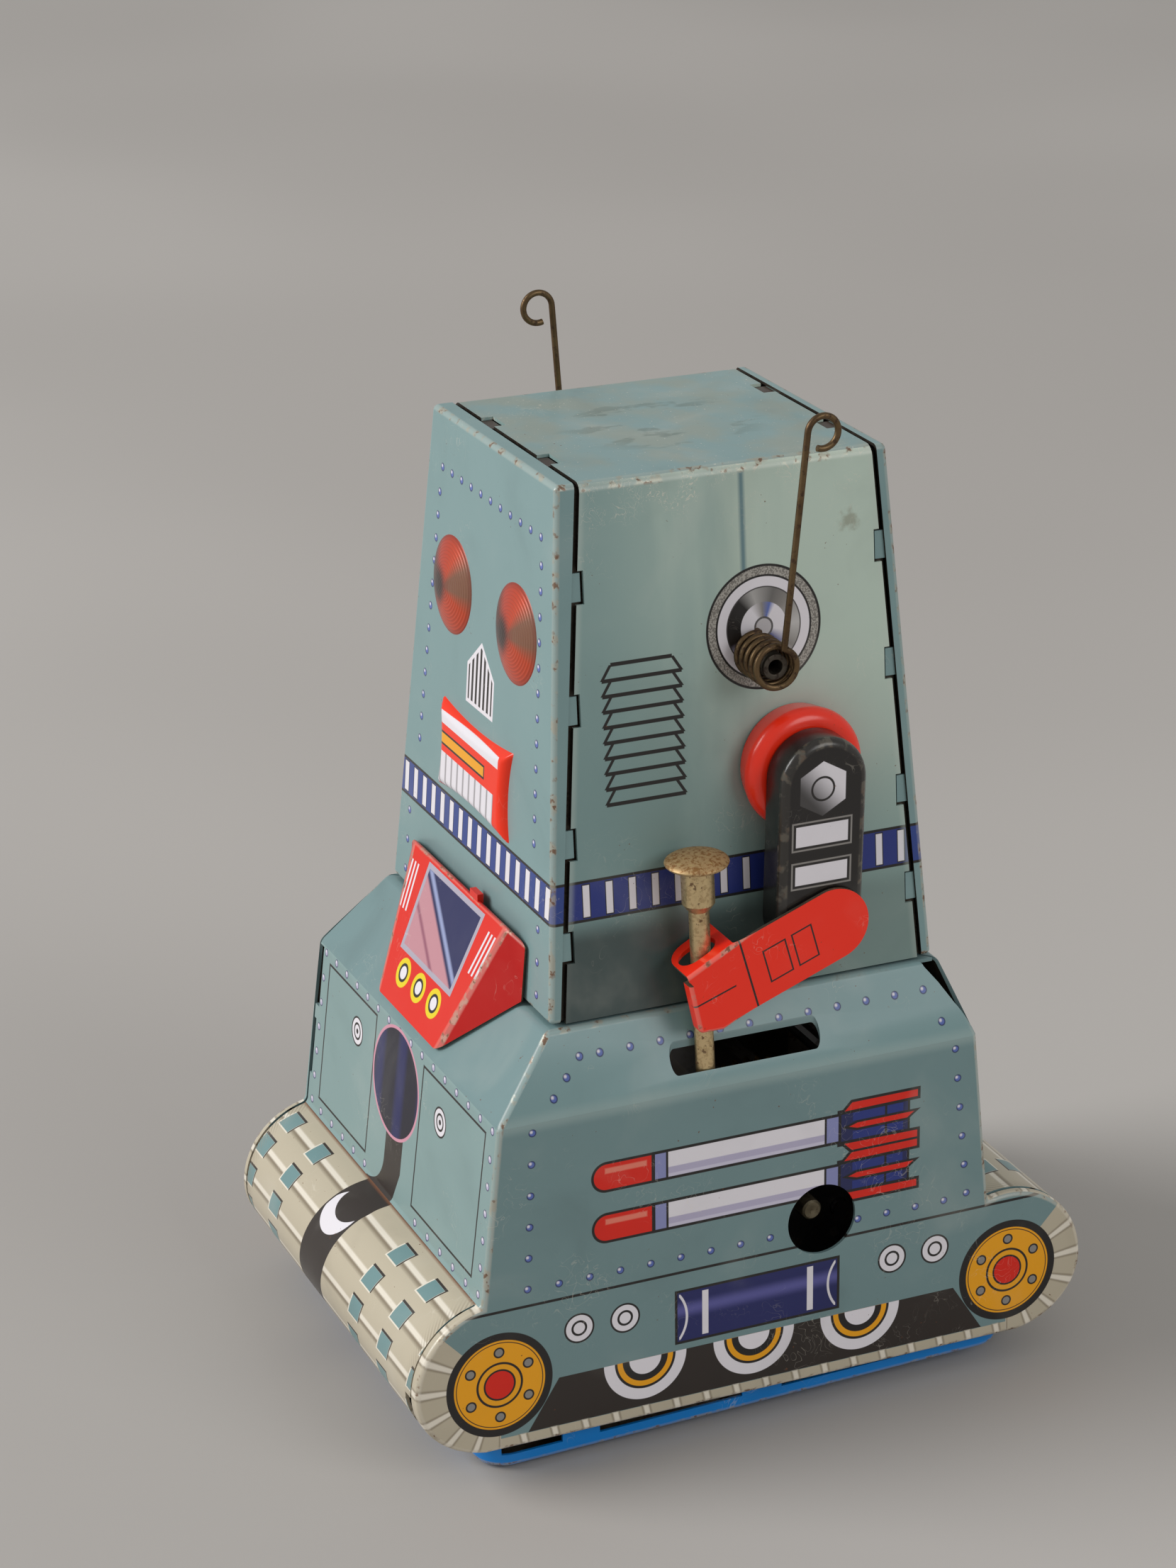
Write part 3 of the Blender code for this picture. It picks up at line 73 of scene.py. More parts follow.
class Val:
    # an output socket; operators add Math nodes, & and | join distances as overlap and union
    def __init__(self, art, socket):
        self.art, self.socket = art, socket

    def do(self, operation, *others, clamp=False):
        return self.art.math(operation, self, *others, clamp=clamp)

    def __add__(self, other):
        return self.do("ADD", other)

    def __sub__(self, other):
        return self.do("SUBTRACT", other)

    def __rsub__(self, other):
        return self.art.math("SUBTRACT", other, self)

    def __mul__(self, other):
        return self.do("MULTIPLY", other)

    def __truediv__(self, other):
        return self.do("DIVIDE", other)

    def __mod__(self, other):
        return self.do("FLOORED_MODULO", other)

    def __neg__(self):
        return self.do("MULTIPLY", -1.0)

    def __abs__(self):
        return self.do("ABSOLUTE")

    def __and__(self, other):
        return self.do("MAXIMUM", other)

    def __or__(self, other):
        return self.do("MINIMUM", other)

    __radd__, __rmul__ = __add__, __mul__


class Art:
    # a material drawn layer by layer in mm; gap values are distances, below 0 inside a shape
    # a colour is the name of an ink, four numbers or a socket
    def __init__(self, name, ground, rough=0.36, metal=0.0, coat=0.2):
        self.material = bpy.data.materials.new(name)
        self.material.use_nodes = True
        self.tree = self.material.node_tree
        self.shader = self.tree.nodes["Principled BSDF"]
        fixed = {"Coat Weight": coat, "Coat Roughness": 0.22, "Specular IOR Level": 0.35}
        for key, value in fixed.items():
            self.shader.inputs[key].default_value = value
        self.colour, self.rough, self.metal = inks.get(ground, ground), rough, metal
        self.at = self.vec("SCALE", self.node("TexCoord", out="Object"), scale=1 / mm)
        self.x, self.y, self.z = self.split(self.at)

    def node(self, kind, settings=None, inputs=None, out=0):
        made = self.tree.nodes.new("ShaderNode" + kind)
        for key, value in (settings or {}).items():
            if key == "stops":
                ramp = made.color_ramp
                for place, colour in value[2:]:
                    ramp.elements.new(place)
                for element, (place, colour) in zip(ramp.elements, value):
                    element.position, element.color = place, inks.get(colour, colour)
            else:
                setattr(made, key, value)
        for key, value in (inputs or {}).items():
            if isinstance(value, Val):
                self.tree.links.new(value.socket, made.inputs[key])
            else:
                made.inputs[key].default_value = value
        return Val(self, made.outputs[out])

    def math(self, operation, *values, clamp=False):
        return self.node("Math", {"operation": operation, "use_clamp": clamp}, dict(enumerate(values)))

    def vec(self, operation, *values, out=0, scale=None):
        inputs = dict(enumerate(values))
        if scale is not None:
            inputs["Scale"] = scale
        return self.node("VectorMath", {"operation": operation}, inputs, out)

    def split(self, vector):
        first = self.node("SeparateXYZ", None, {0: vector})
        return [Val(self, socket) for socket in first.socket.node.outputs]

    def mix(self, under, over, share):
        inputs = {0: share, 6: inks.get(under, under), 7: inks.get(over, over)}
        return self.node("Mix", {"data_type": "RGBA"}, inputs, out=2)

    def ramp(self, value, *stops):
        return self.node("ValToRGB", {"stops": stops}, {0: value})

    def noise(self, size, detail=2.0, where=None, rough=0.5, twist=0.0):
        # clouds whose lumps are about size mm across
        inputs = {"Vector": where or self.at, "Scale": 1 / size, "Detail": detail, "Roughness": rough,
                  "Distortion": twist}
        return self.node("TexNoise", None, inputs)

    def step(self, value, low, high):
        inputs = {0: value, 1: low, 2: high, 3: 0.0, 4: 1.0}
        return self.node("MapRange", {"interpolation_type": "SMOOTHSTEP"}, inputs)

    def bump(self, height, strength, depth):
        return self.node("Bump", None, {"Strength": strength, "Distance": depth * mm, "Height": height})

    def spot(self, across, up):
        # a point of a flat drawing, with a 1 behind it so that a dot product gives a straight edge
        return self.node("CombineXYZ", None, {0: across, 1: up, 2: 1.0})

    def far(self, point, centre):
        return self.vec("DISTANCE", point, (*centre, 1.0), out=1)

    def turn(self, across, up):
        # share of a full turn about the origin, 0 to 1, from the side of -across
        return (self.math("ARCTAN2", up, across) / (2 * math.pi) + 0.5) % 1.0

    def disc(self, point, centre, radius):
        return self.far(point, centre) - radius

    def block(self, point, low, high):
        middle = ((low[0] + high[0]) / 2, (low[1] + high[1]) / 2, 1.0)
        half = ((high[0] - low[0]) / 2, (high[1] - low[1]) / 2, 0.0)
        reach = self.vec("ABSOLUTE", self.vec("SUBTRACT", point, middle))
        across, up, _ = self.split(self.vec("SUBTRACT", reach, half))
        return across & up

    def edge(self, point, start, end):
        # distance to the right of the line from start to end
        run = np.subtract(end, start)
        normal = np.array([run[1], -run[0]]) / np.hypot(*run)
        return self.vec("DOT_PRODUCT", point, (*normal, -normal @ start), out=1)

    def wedge(self, point, *corners):
        # a convex outline, its corners counter-clockwise
        pairs = zip(corners, corners[1:] + corners[:1])
        return reduce(Val.__and__, [self.edge(point, start, end) for start, end in pairs])

    def mask(self, gap, soft=0.07):
        return gap.do("MULTIPLY_ADD", -1 / soft, 0.5, clamp=True)

    def lay(self, share, colour):
        self.colour = self.mix(self.colour, colour, share)

    def ink(self, gap, colour, soft=0.07):
        self.lay(self.mask(gap, soft), colour)

    def draw(self, gap, fill, line="black", width=0.3):
        # a filled shape with its outline on the edge
        self.ink(gap - width / 2, line)
        self.ink(gap + width / 2, fill)

    def rounds(self, gap, *rings, inside=None):
        # filled rounds on each other, in pairs of radius and colour; gap is the distance from their centre
        for radius, colour in rings:
            disc = gap - radius
            self.ink(disc & inside if inside else disc, colour)

    def studs(self, point, *rows, size=0.5, fill="sky"):
        # printed rivets in rows of (start, end, count): rounding along a row finds its nearest one
        lit = self.vec("ADD", point, (0.3 * size, -0.3 * size, 0.0))
        near, gleam = [], []
        for start, end, count in rows:
            start, run = np.array(start), np.subtract(end, start) / max(count - 1, 1)
            rate = run / (run @ run)
            index = self.vec("DOT_PRODUCT", point, (*rate, -rate @ start), out=1).do("ROUND")
            index = self.node("Clamp", None, {0: index, 1: 0.0, 2: count - 1.0})
            centre = self.vec("MULTIPLY_ADD", index, (*run, 0.0), (*start, 1.0))
            near.append(self.vec("DISTANCE", point, centre, out=1))
            gleam.append(self.vec("DISTANCE", lit, centre, out=1))
        near, gleam = reduce(Val.__or__, near), reduce(Val.__or__, gleam)
        self.ink(near - size, "navy", 0.12)
        self.ink(near - size * 0.74, fill, 0.12)
        self.ink(gleam - size * 0.36, "white", 0.2)

    def age(self, wear=1.0, bends=True, rub=1.0, sheen=0.16, fade=0.16):
        # old varnish: soft clouds, hairlines, chips to the tin, brown rubbed bends, and a painted highlight
        # along the bends
        cloud = self.noise(16, 4.0, twist=0.6)
        self.lay(self.step(cloud, 0.5, 0.9) * (0.2 * wear), "shade")
        self.lay(self.step(cloud, 0.48, 0.1) * (fade * wear), "bloom")
        vein = self.noise(2.6, 1.5, twist=1.6)
        hair = self.step(abs(vein - 0.5), 0.011, 0.004) * self.step(self.noise(9, 2.0), 0.56, 0.7)
        chips = self.step(self.noise(0.55, 2.0), 0.735, 0.76) * self.step(self.noise(6, 2.0), 0.5, 0.62)
        self.lay(hair * (0.2 * wear), "tanLight")
        self.lay(chips * min(1.0, 0.8 * wear), "rust")
        bare = chips * 0.25
        if bends:
            bend = self.node("Attribute", {"attribute_name": "bend"}, out="Fac")
            rubbed = bend * self.step(self.noise(1.7, 3.0), 0.5, 0.62)
            # painted highlight: the bends are lightened as if they catch the light
            self.lay(bend * (sheen * rub), "tanLight")
            self.lay(rubbed * (0.55 * rub), "tin")
            rusty = rubbed * self.step(self.noise(0.7, 2.0), 0.52, 0.6)
            self.lay(rusty * (0.8 * rub), "rust")
            bare = bare + rubbed * (0.35 * rub)
        self.rough = self.rough + (cloud - 0.5) * 0.22 + bare * 0.2 + hair * 0.1
        self.metal = self.metal + bare
        peel = self.noise(0.9, 3.0) * 0.5 + vein * 0.6 - bare * 0.7
        return self.finish(self.bump(peel, 0.12, 0.06))

    def finish(self, normal=None):
        sockets = {"Base Color": self.colour, "Roughness": self.rough, "Metallic": self.metal,
                   "Normal": normal}
        for name, value in sockets.items():
            if isinstance(value, Val):
                self.tree.links.new(value.socket, self.shader.inputs[name])
            elif value is not None:
                self.shader.inputs[name].default_value = value
        return self.material


# Mesh helpers: points in mm

def addObject(name, data):
    made = bpy.data.objects.new(name, data)
    scene.collection.objects.link(made)
    return made


def newMesh(name, points, faces, finishes, slots=None):
    mesh = bpy.data.meshes.new(name)
    mesh.from_pydata((np.asarray(points, float) * mm).tolist(), [], [list(map(int, face)) for face in faces])
    for finish in finishes:
        mesh.materials.append(finish)
    if slots is not None:
        mesh.polygons.foreach_set("material_index", np.asarray(slots, np.int32))
    mesh.update()
    return mesh


def outward(mesh, towards=(0, 0, 0)):
    # turns all faces alike; a sheet is turned so that its first face looks towards a direction
    shape = bmesh.new()
    shape.from_mesh(mesh)
    bmesh.ops.recalc_face_normals(shape, faces=shape.faces)
    shape.faces.ensure_lookup_table()
    if shape.faces[0].normal.dot(Vector(towards)) < 0:
        bmesh.ops.reverse_faces(shape, faces=shape.faces)
    shape.to_mesh(mesh)
    shape.free()
    return mesh


def gridFaces(rows, cols, loopRows=False, loopCols=False):
    # quads of a grid of points, row by row, closed round where asked
    i, j = np.meshgrid(np.arange(rows - (not loopRows)), np.arange(cols - (not loopCols)), indexing="ij")
    nextI, nextJ = (i + 1) % rows, (j + 1) % cols
    quads = np.stack([i * cols + j, i * cols + nextJ, nextI * cols + nextJ, nextI * cols + j], axis=-1)
    return quads.reshape(-1, 4)


def applied(mesh, *changes):
    # the mesh with modifiers applied, each given as its type and settings
    holder = addObject(mesh.name + "_work", mesh)
    for kind, settings in changes:
        change = holder.modifiers.new(kind, kind)
        for key, value in settings.items():
            setattr(change, key, value)
    bpy.context.view_layer.update()
    graph = bpy.context.evaluated_depsgraph_get()
    shown = holder.evaluated_get(graph)
    done = bpy.data.meshes.new_from_object(shown, preserve_all_data_layers=True, depsgraph=graph)
    bpy.data.objects.remove(holder)
    return done


def moved(points, place):
    return points @ np.array(place.to_3x3()).T + np.array(place.translation)


def prism(outline, low, high, along, place=None):
    # a closed cutter: a flat outline carried straight along one axis
    first, second, third = {"X": (1, 2, 0), "Z": (0, 1, 2)}[along]
    outline = np.asarray(outline, float)
    ahead = np.roll(outline, -1, axis=0)
    if np.sum(outline[:, 0] * ahead[:, 1] - ahead[:, 0] * outline[:, 1]) < 0:
        outline = outline[::-1]
    count = len(outline)
    points = np.zeros((2 * count, 3))
    points[:, first], points[:, second] = np.tile(outline[:, 0], 2), np.tile(outline[:, 1], 2)
    points[:count, third], points[count:, third] = low, high
    if place is not None:
        points = moved(points, place)
    ring = np.arange(count)
    faces = [ring[::-1], ring + count, *gridFaces(2, count, loopCols=True)]
    return addObject("cutter", newMesh("cutter", points, faces, []))


def slab(low, high, place=None):
    corners = [(low[0], low[1]), (high[0], low[1]), (high[0], high[1]), (low[0], high[1])]
    return prism(corners, low[2], high[2], "Z", place)


def circle(centre, radius, count):
    turn = np.linspace(0, 2 * np.pi, count, endpoint=False)
    return np.stack([centre[0] + radius * np.cos(turn), centre[1] + radius * np.sin(turn)], 1)


def arc(centre, radii, start, end, count):
    turn = np.radians(np.linspace(start, end, count + 1))
    return np.stack([centre[0] + radii[0] * np.cos(turn), centre[1] + radii[1] * np.sin(turn)], 1)


def capsule(start, end, radius, count=16):
    # outline of a slot with round ends between two points
    heading = math.degrees(math.atan2(end[1] - start[1], end[0] - start[0]))
    far = arc(end, (radius, radius), heading - 90, heading + 90, count)
    return np.concatenate([far, arc(start, (radius, radius), heading + 90, heading + 270, count)])


def markBends(mesh, flats):
    # a point that no flat face touches lies on a bend: attribute 1 there, 0 on the flats
    normals = np.zeros(len(mesh.polygons) * 3)
    mesh.polygons.foreach_get("normal", normals)
    flat = (normals.reshape(-1, 3) @ flats.T).max(axis=1) > 0.9997
    totals = np.zeros(len(mesh.polygons), np.int32)
    mesh.polygons.foreach_get("loop_total", totals)
    corners = np.zeros(len(mesh.loops), np.int32)
    mesh.loops.foreach_get("vertex_index", corners)
    touched = np.bincount(corners, weights=np.repeat(flat, totals), minlength=len(mesh.vertices)) > 0
    mesh.attributes.new("bend", "FLOAT", "POINT").data.foreach_set("value", (~touched).astype(np.float32))


def foldedSheet(name, points, faces, slots, finishes, form, towards, cuts=()):
    # flat panels joined at bends: the bends are rounded, the sheet gets its wall inwards, then it is cut
    # cuts are pairs of a Boolean operation and a closed tool; the last finish is the bare inside
    cage = outward(newMesh(name, points, faces, finishes, slots), towards)
    flats = np.zeros(len(cage.polygons) * 3)
    cage.polygons.foreach_get("normal", flats)
    bends = {"width": form["bend"] * mm, "segments": 5, "limit_method": "ANGLE",
             "angle_limit": math.radians(form.get("angle", 25))}
    bent = applied(cage, ("BEVEL", bends))
    markBends(bent, flats.reshape(-1, 3))
    wall = {"thickness": form["wall"] * mm, "offset": -1, "use_even_offset": True,
            "material_offset": len(finishes), "material_offset_rim": len(finishes)}
    tools = [("BOOLEAN", {"operation": operation, "object": tool, "solver": "MANIFOLD"})
             for operation, tool in cuts]
    solid = applied(bent, ("SOLIDIFY", wall), ("TRIANGULATE", {}), *tools)
    for operation, tool in cuts:
        bpy.data.objects.remove(tool)
    shape = bmesh.new()
    shape.from_mesh(solid)
    bmesh.ops.dissolve_limit(shape, angle_limit=math.radians(0.3), verts=shape.verts, edges=shape.edges,
                             delimit={"MATERIAL"})
    shape.to_mesh(solid)
    shape.free()
    return solid


def addPiece(name, mesh, body, slotName, *nodes, crease=32, edge=0):
    # a finished piece on its body; edge rounds its sharp edges by that many mm
    made = addObject(name, mesh)
    mesh.name = name
    mesh.shade_smooth()
    if edge:
        bevel = made.modifiers.new("edges", "BEVEL")
        bevel.width, bevel.segments = edge * mm, 3
        bevel.limit_method, bevel.angle_limit = "ANGLE", math.radians(crease)
    else:
        mesh.set_sharp_from_angle(angle=math.radians(crease))
    normals = made.modifiers.new("normals", "WEIGHTED_NORMAL")
    normals.keep_sharp = not edge
    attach(made, body)
    if nodes:
        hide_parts(*nodes)


def ringMesh(name, points, count, finishes, closed=False):
    # rings of count points joined row after row; the ends are capped unless the last row meets the first
    rows = len(points) // count
    faces = list(gridFaces(rows, count, loopRows=closed, loopCols=True))
    if not closed:
        faces += [np.arange(count)[::-1], np.arange(count) + (rows - 1) * count]
    return outward(newMesh(name, points, faces, finishes))


def turnedMesh(name, profile, finishes, axis, centre, steps, closed=False):
    # a profile of (radius, distance along the axis) carried round the axis
    profile = np.asarray(profile, float)
    turn = np.linspace(0, 2 * np.pi, steps, endpoint=False)
    axis = Vector(axis).normalized()
    across = axis.orthogonal().normalized()
    up = axis.cross(across)
    radius, run = profile[:, 0, None, None], profile[:, 1, None, None]
    around = np.cos(turn)[:, None] * np.array(across) + np.sin(turn)[:, None] * np.array(up)
    points = (np.array(centre) + run * np.array(axis) + radius * around[None]).reshape(-1, 3)
    return ringMesh(name, points, steps, finishes, closed)


def tubeMesh(name, path, radius, finishes, count=14):
    # a circle carried along a path; its frame turns with the path without twist
    path = np.asarray(path, float)
    tangent = np.gradient(path, axis=0)
    tangent /= np.linalg.norm(tangent, axis=1)[:, None]
    frames = [np.array(Vector(tangent[0]).orthogonal().normalized())]
    for way in tangent[1:]:
        side = frames[-1] - way * (way @ frames[-1])
        frames.append(side / np.linalg.norm(side))
    side = np.array(frames)
    other = np.cross(tangent, side)
    turn = np.linspace(0, 2 * np.pi, count, endpoint=False)
    ring = np.cos(turn)[None, :, None] * side[:, None] + np.sin(turn)[None, :, None] * other[:, None]
    return ringMesh(name, (path[:, None] + radius * ring).reshape(-1, 3), count, finishes)


# The toy's forms, in mm, as the CAD has them

beyond = 105  # past the toy on every side
hull = {
    "wall": 0.4, "bend": 1.2, "fit": 0.3,
    "trackZ": 13.43, "trackY": 35.0, "reach": 10.8, "rise": 10.8, "drop": 9.2,
    "halfWidth": 31.44, "lean": 1.77, "bendZ": 47.0,
    "frontBendY": -34.45, "rearBendY": 29.88, "frontFootY": -37.0, "rearFootY": 32.1,
    "deckHalfLength": 26.3, "deckZ": 56.45, "deckSide": 4.2, "flange": 4.0, "openY": 36.9, "rim": 1.3,
    "seamInset": 1.65, "seam": 0.25, "notchWidth": 2.0, "notchLow": 8.8, "notchHigh": 13.2,
    "slotFront": -11.4, "slotRear": 8.7, "slotWidth": 1.7, "leverInset": 1.75,
    "keyhole": (8.4116, 26.2951), "keyholeRadius": 4.65,
    "gape": ((25.8, 26.2), (25.8, 23.6), (26.5, 24.1), (27.4, 25.7), (28.6, 27.5), (30.2, 30.3)),
    "gapeHeight": (48.0, 58.0), "cutX": 63, "cutY": 56.6, "cutZ": (-13, 121),
    "cornerGaps": (((-31.5, -38.0, 38.2), (-28.25, -33.0, 46.6)),
                   ((-31.5, -38.0, 28.5), (-28.9, -33.0, 36.3))),
}
head = {
    "wall": 0.4, "bend": 1.2, "inset": 0.6, "baseZ": 56.75, "topZ": 121.1, "topHalfWidth": 18.87,
    "baseHalfLength": 24.0, "topHalfLength": 19.19, "trayDepth": 1.4, "faceLean": 1.0, "trayBend": 0.7,
    "lipStep": 0.8, "lipLength": 1.8, "lipRise": 0.1, "lipWall": 0.25, "lipBend": 0.5,
    "tabWidth": 3.4, "tabLength": 1.6, "sideTabLength": 0.9, "tabSunk": 0.35, "seam": 0.35, "topTabX": 8.5,
    "tabHeights": (66, 78.5, 94.5, 109), "eyeX": 9.95, "eyeZ": 100.6, "eyeRadius": 6.15, "eyeRise": 1.3,
    "mouthHalfWidth": 11.2, "mouthLow": 74.3, "mouthHigh": 86.1, "mouthRise": 1.15, "mouthEdge": 1.7,
    "mouthPull": (1.1, 0.9), "mouthSunk": 0.15,
    "shoulder": (7.4, 84.3), "shoulderHole": 1.8, "stud": (2.0, 98.8), "studHole": 1.9,
}


def sideX(z):
    # half-width of the hull: it leans in with height
    return hull["halfWidth"] - (z - hull["trackZ"]) * math.tan(math.radians(hull["lean"]))


deckHalfWidth = sideX(hull["bendZ"]) - hull["deckSide"]
headHalfWidth = deckHalfWidth - head["inset"]
leverX = sideX(hull["bendZ"]) - hull["leverInset"]


def headShare(z):
    return (z - head["baseZ"]) / (head["topZ"] - head["baseZ"])


def headX(z):
    # half-width of the head, tapering from its base to its top
    return headHalfWidth + (head["topHalfWidth"] - headHalfWidth) * headShare(z)


def headY(z):
    # half-length of the head's wrap
    return head["baseHalfLength"] + (head["topHalfLength"] - head["baseHalfLength"]) * headShare(z)


def faceY(z):
    # the face tray grows deeper towards its top
    return -headY(z) - hull["fit"] - head["trayDepth"] - head["faceLean"] * headShare(z)


# Printed finishes, drawn in mm: sides on (y, z), ends on (x, z)

belt = {"z": 71.4, "half": 2.4, "pitch": 3.0, "border": 0.15, "inset": 0.2, "barLine": 0.12,
        "barInset": (0.3, 0.45), "sideBar": (0.85, -0.8), "endBar": (1.2, 0.4), "endBlue": tint(48, 70, 140)}
louvre = {"y": -12.0, "top": 99.4, "pitch": 1.867, "slats": 9, "half": 3.95, "flare": 1.2, "line": 0.22,
          "rung": 0.24}
gauge = {
    "centre": (4.0, 101.2), "dots": (tint(126, 122, 116), tint(176, 172, 164)),
    "outer": ((0.0, "black"), (0.06, "soot"), (0.1, "lilac"), (0.3, "white"), (0.4, "grey"),
              (0.5, tint(200, 198, 196)), (0.62, "grey"), (0.7, tint(110, 108, 106)),
              (0.8, tint(176, 174, 172)), (0.87, "black")),
    "inner": ((0.0, "white"), (0.2, "soot"), (0.36, "royal"), (0.46, "white"), (0.66, "white"), (0.7, "sky"),
              (0.76, "grey"), (0.85, "white")),
}


def drawBelt(art, across, bar, blue="royal"):
    # blue belt round the head with white bars and thin black borders; bar holds a bar's width and start
    width, start = bar
    gap = abs(art.z - belt["z"]) - belt["half"]
    art.ink(gap - belt["border"], "black")
    art.ink(gap + belt["inset"], blue)
    stripe = abs((across - start) % belt["pitch"] - belt["pitch"] / 2) - width / 2
    art.ink((stripe - belt["barLine"]) & (gap + belt["barInset"][0]), "black")
    art.ink(stripe & (gap + belt["barInset"][1]), "white")


def drawLouvre(art):
    # shingled slats, each wider at its foot
    pitch, flare, half = louvre["pitch"], louvre["flare"], louvre["slats"] * louvre["pitch"] / 2
    drop = (louvre["top"] - art.z) / pitch
    inside = abs(louvre["top"] - half - art.z) - half
    across = abs(art.y - louvre["y"])
    flank = across - (drop % 1.0 * flare + louvre["half"])
    rung = abs((drop + 0.5) % 1.0 - 0.5) * pitch - louvre["rung"]
    reach = louvre["half"] + flare - drop.do("LESS_THAN", 0.5) * flare  # the top rung is the short one
    rung = rung & (across - reach) & (inside - louvre["rung"])
    art.ink(((abs(flank) - louvre["line"]) & inside) | rung, "black")


def drawGauge(art, point):
    # dotted ring, white ring, a polished cone of light and dark sectors
    centre = gauge["centre"]
    dots = art.mix(*gauge["dots"], art.step(art.noise(0.2, 0.0), 0.4, 0.6))
    turn = art.turn(art.y - centre[0], art.z - centre[1])
    cone = [art.ramp(turn, *gauge[part]) for part in ("outer", "inner")]
    cap = art.mix("grey", "white", 0.5)
    art.rounds(art.far(point, centre), (7.55, "black"), (7.25, dots), (6.3, "black"), (6.05, "white"),
               (4.9, tint(70, 66, 66)), (4.75, cone[0]), (3.0, cone[1]), (1.25, tint(90, 88, 88)), (1.0, cap))


headSideInks = {
    "pale": (tint(140, 165, 160), tint(191, 209, 196)), "dull": (tint(122, 147, 144), tint(155, 179, 173)),
    "front": tint(126, 156, 156), "line": ((1.28, 108.0), (1.92, 120.0)), "lineInk": tint(110, 140, 146),
    "stain": (15.5, 112.6), "stainInk": tint(116, 100, 66), "edge": tint(196, 206, 196),
    "armShade": tint(48, 56, 55),
}


def headSidePrint():
    # painted reflection: the ground is paler higher up and duller in front; then the drawings, then stains
    # and painted light
    art = Art("head_side_print", "ground")
    y, z = art.y, art.z
    point = art.spot(y, z)
    # noise that makes the edge of the painted reflection ragged
    reflectionWobble = art.noise(5, 3.0, where=art.vec("MULTIPLY", art.at, (1.0, 1.0, 0.22)))
    front = art.step(y + (reflectionWobble - 0.5) * 26.0, 8.0, -12.0)
    height = art.step(z + y * 0.35, 74.0, 106.0)
    # painted reflection: the ground is lighter higher up and towards the rear
    art.colour = art.mix(art.mix(*headSideInks["pale"], height), art.mix(*headSideInks["dull"], height), front * 0.9)
    art.lay(art.step(y, -8.0, -19.0) * 0.6, headSideInks["front"])
    art.ink(art.block(point, *headSideInks["line"]), headSideInks["lineInk"], 0.45)
    drawLouvre(art)
    drawGauge(art, point)
    # crazed varnish under the top edge and one stain behind it
    craze = art.step(abs(art.noise(1.5, 1.0, twist=2.4) - 0.5), 0.02, 0.006) * art.step(z, 113.5, 119.0)
    art.lay(craze * art.step(art.noise(4, 1.0), 0.42, 0.56) * 0.55, "tanLight")
    stain = art.step(art.far(point, headSideInks["stain"]) + (art.noise(1.2, 3.0) - 0.5) * 3.0, 1.6, 0.4)
    art.lay(stain * 0.45, headSideInks["stainInk"])
    drawBelt(art, y, belt["sideBar"])
    # rolled edges catch the light as a painted highlight; painted shade under the arms, darker towards the
    # bottom
    taper = (head["baseHalfLength"] - head["topHalfLength"]) / (head["topZ"] - head["baseZ"])
    edge = head["baseHalfLength"] - (z - head["baseZ"]) * taper - abs(y)
    art.lay(art.step(edge, 1.3, 0.5) * 0.3, headSideInks["edge"])
    # painted shade: the arms' shadow on the lower side, stronger towards the front
    art.lay(art.step(z, 70.0, 66.0) * (art.step(y, 16.0, -6.0) * 0.52 + 0.3), headSideInks["armShade"])
    return art.age()


def headTopPrint():
    # mottled paint, wiped darker in the middle
    art = Art("head_top_print", "ground")
    art.lay(art.step(art.noise(7, 4.0), 0.35, 0.65) * 0.7, tint(146, 154, 142))
    along = art.vec("MULTIPLY", art.at, (1.0, 0.45, 1.0))
    wiped = art.step(art.noise(5, 4.0, where=along, rough=0.6), 0.55, 0.6)
    middle = art.step(art.vec("LENGTH", art.vec("MULTIPLY", art.at, (1.0, 0.9, 0.0)), out=1), 14.0, 6.0)
    art.lay(wiped * middle * 0.6, tint(92, 112, 106))
    art.lay(art.step(art.noise(0.35, 1.0), 0.72, 0.76) * 0.6, "tanLight")
    return art.age(1.3)


endPanel = {
    "stud": 0.52, "tabs": (19.4, 119.0), "tabShade": tint(52, 38, 28),
    "face": (((-14.6, 114.2), (15.7, 114.2), 11), ((-15.2, 110.9), (-18.4, 77.8), 12),
             ((16.2, 110.9), (18.2, 77.2), 12),
             ((20.6, 67.2), (21.2, 59.0), 3), ((-20.8, 67.2), (-21.4, 59.0), 3)),
    "rear": (((-14.6, 114.2), (14.6, 114.2), 11), ((-15.2, 110.9), (-18.4, 77.8), 12),
             ((15.2, 110.9), (18.4, 77.8), 12)),
    "nose": ((-4.2, 87.6), (4.2, 87.6), (4.2, 92.6), (0.0, 96.3), (-4.2, 92.6)),
    "slatPitch": 1.2, "slat": 0.3,
}


def endPanelPrint(name, studs, nose, wear):
    # rows of rivets, on the face a white gable with black slats, the belt, and painted shade on the tabs sunk
    # in the top
    art = Art(name, "ground")
    point = art.spot(art.x, art.z)
    art.studs(point, *studs, size=endPanel["stud"])
    if nose:
        gable = art.wedge(point, *nose)
        art.ink(gable, "white")
        half = endPanel["slatPitch"] / 2
        slats = abs((art.x + half) % endPanel["slatPitch"] - half) - endPanel["slat"]
        art.ink(slats & (gable + 0.5), "black")
    drawBelt(art, art.x, belt["endBar"], belt["endBlue"])
    # painted shade: the sunk tabs are darkened like the shade in their slots
    reach, height = endPanel["tabs"]
    art.ink((abs(art.y) - reach) & (height - art.z), endPanel["tabShade"])
    return art.age(wear)


eyeReflection = ((0.0, tint(44, 24, 18)), (0.07, tint(88, 36, 24)), (0.2, tint(196, 62, 24)),
           (0.43, tint(194, 66, 28)), (0.5, tint(130, 88, 66)), (0.6, tint(126, 84, 62)),
           (0.68, tint(194, 66, 30)), (0.84, tint(182, 52, 24)), (0.94, tint(76, 32, 22)))


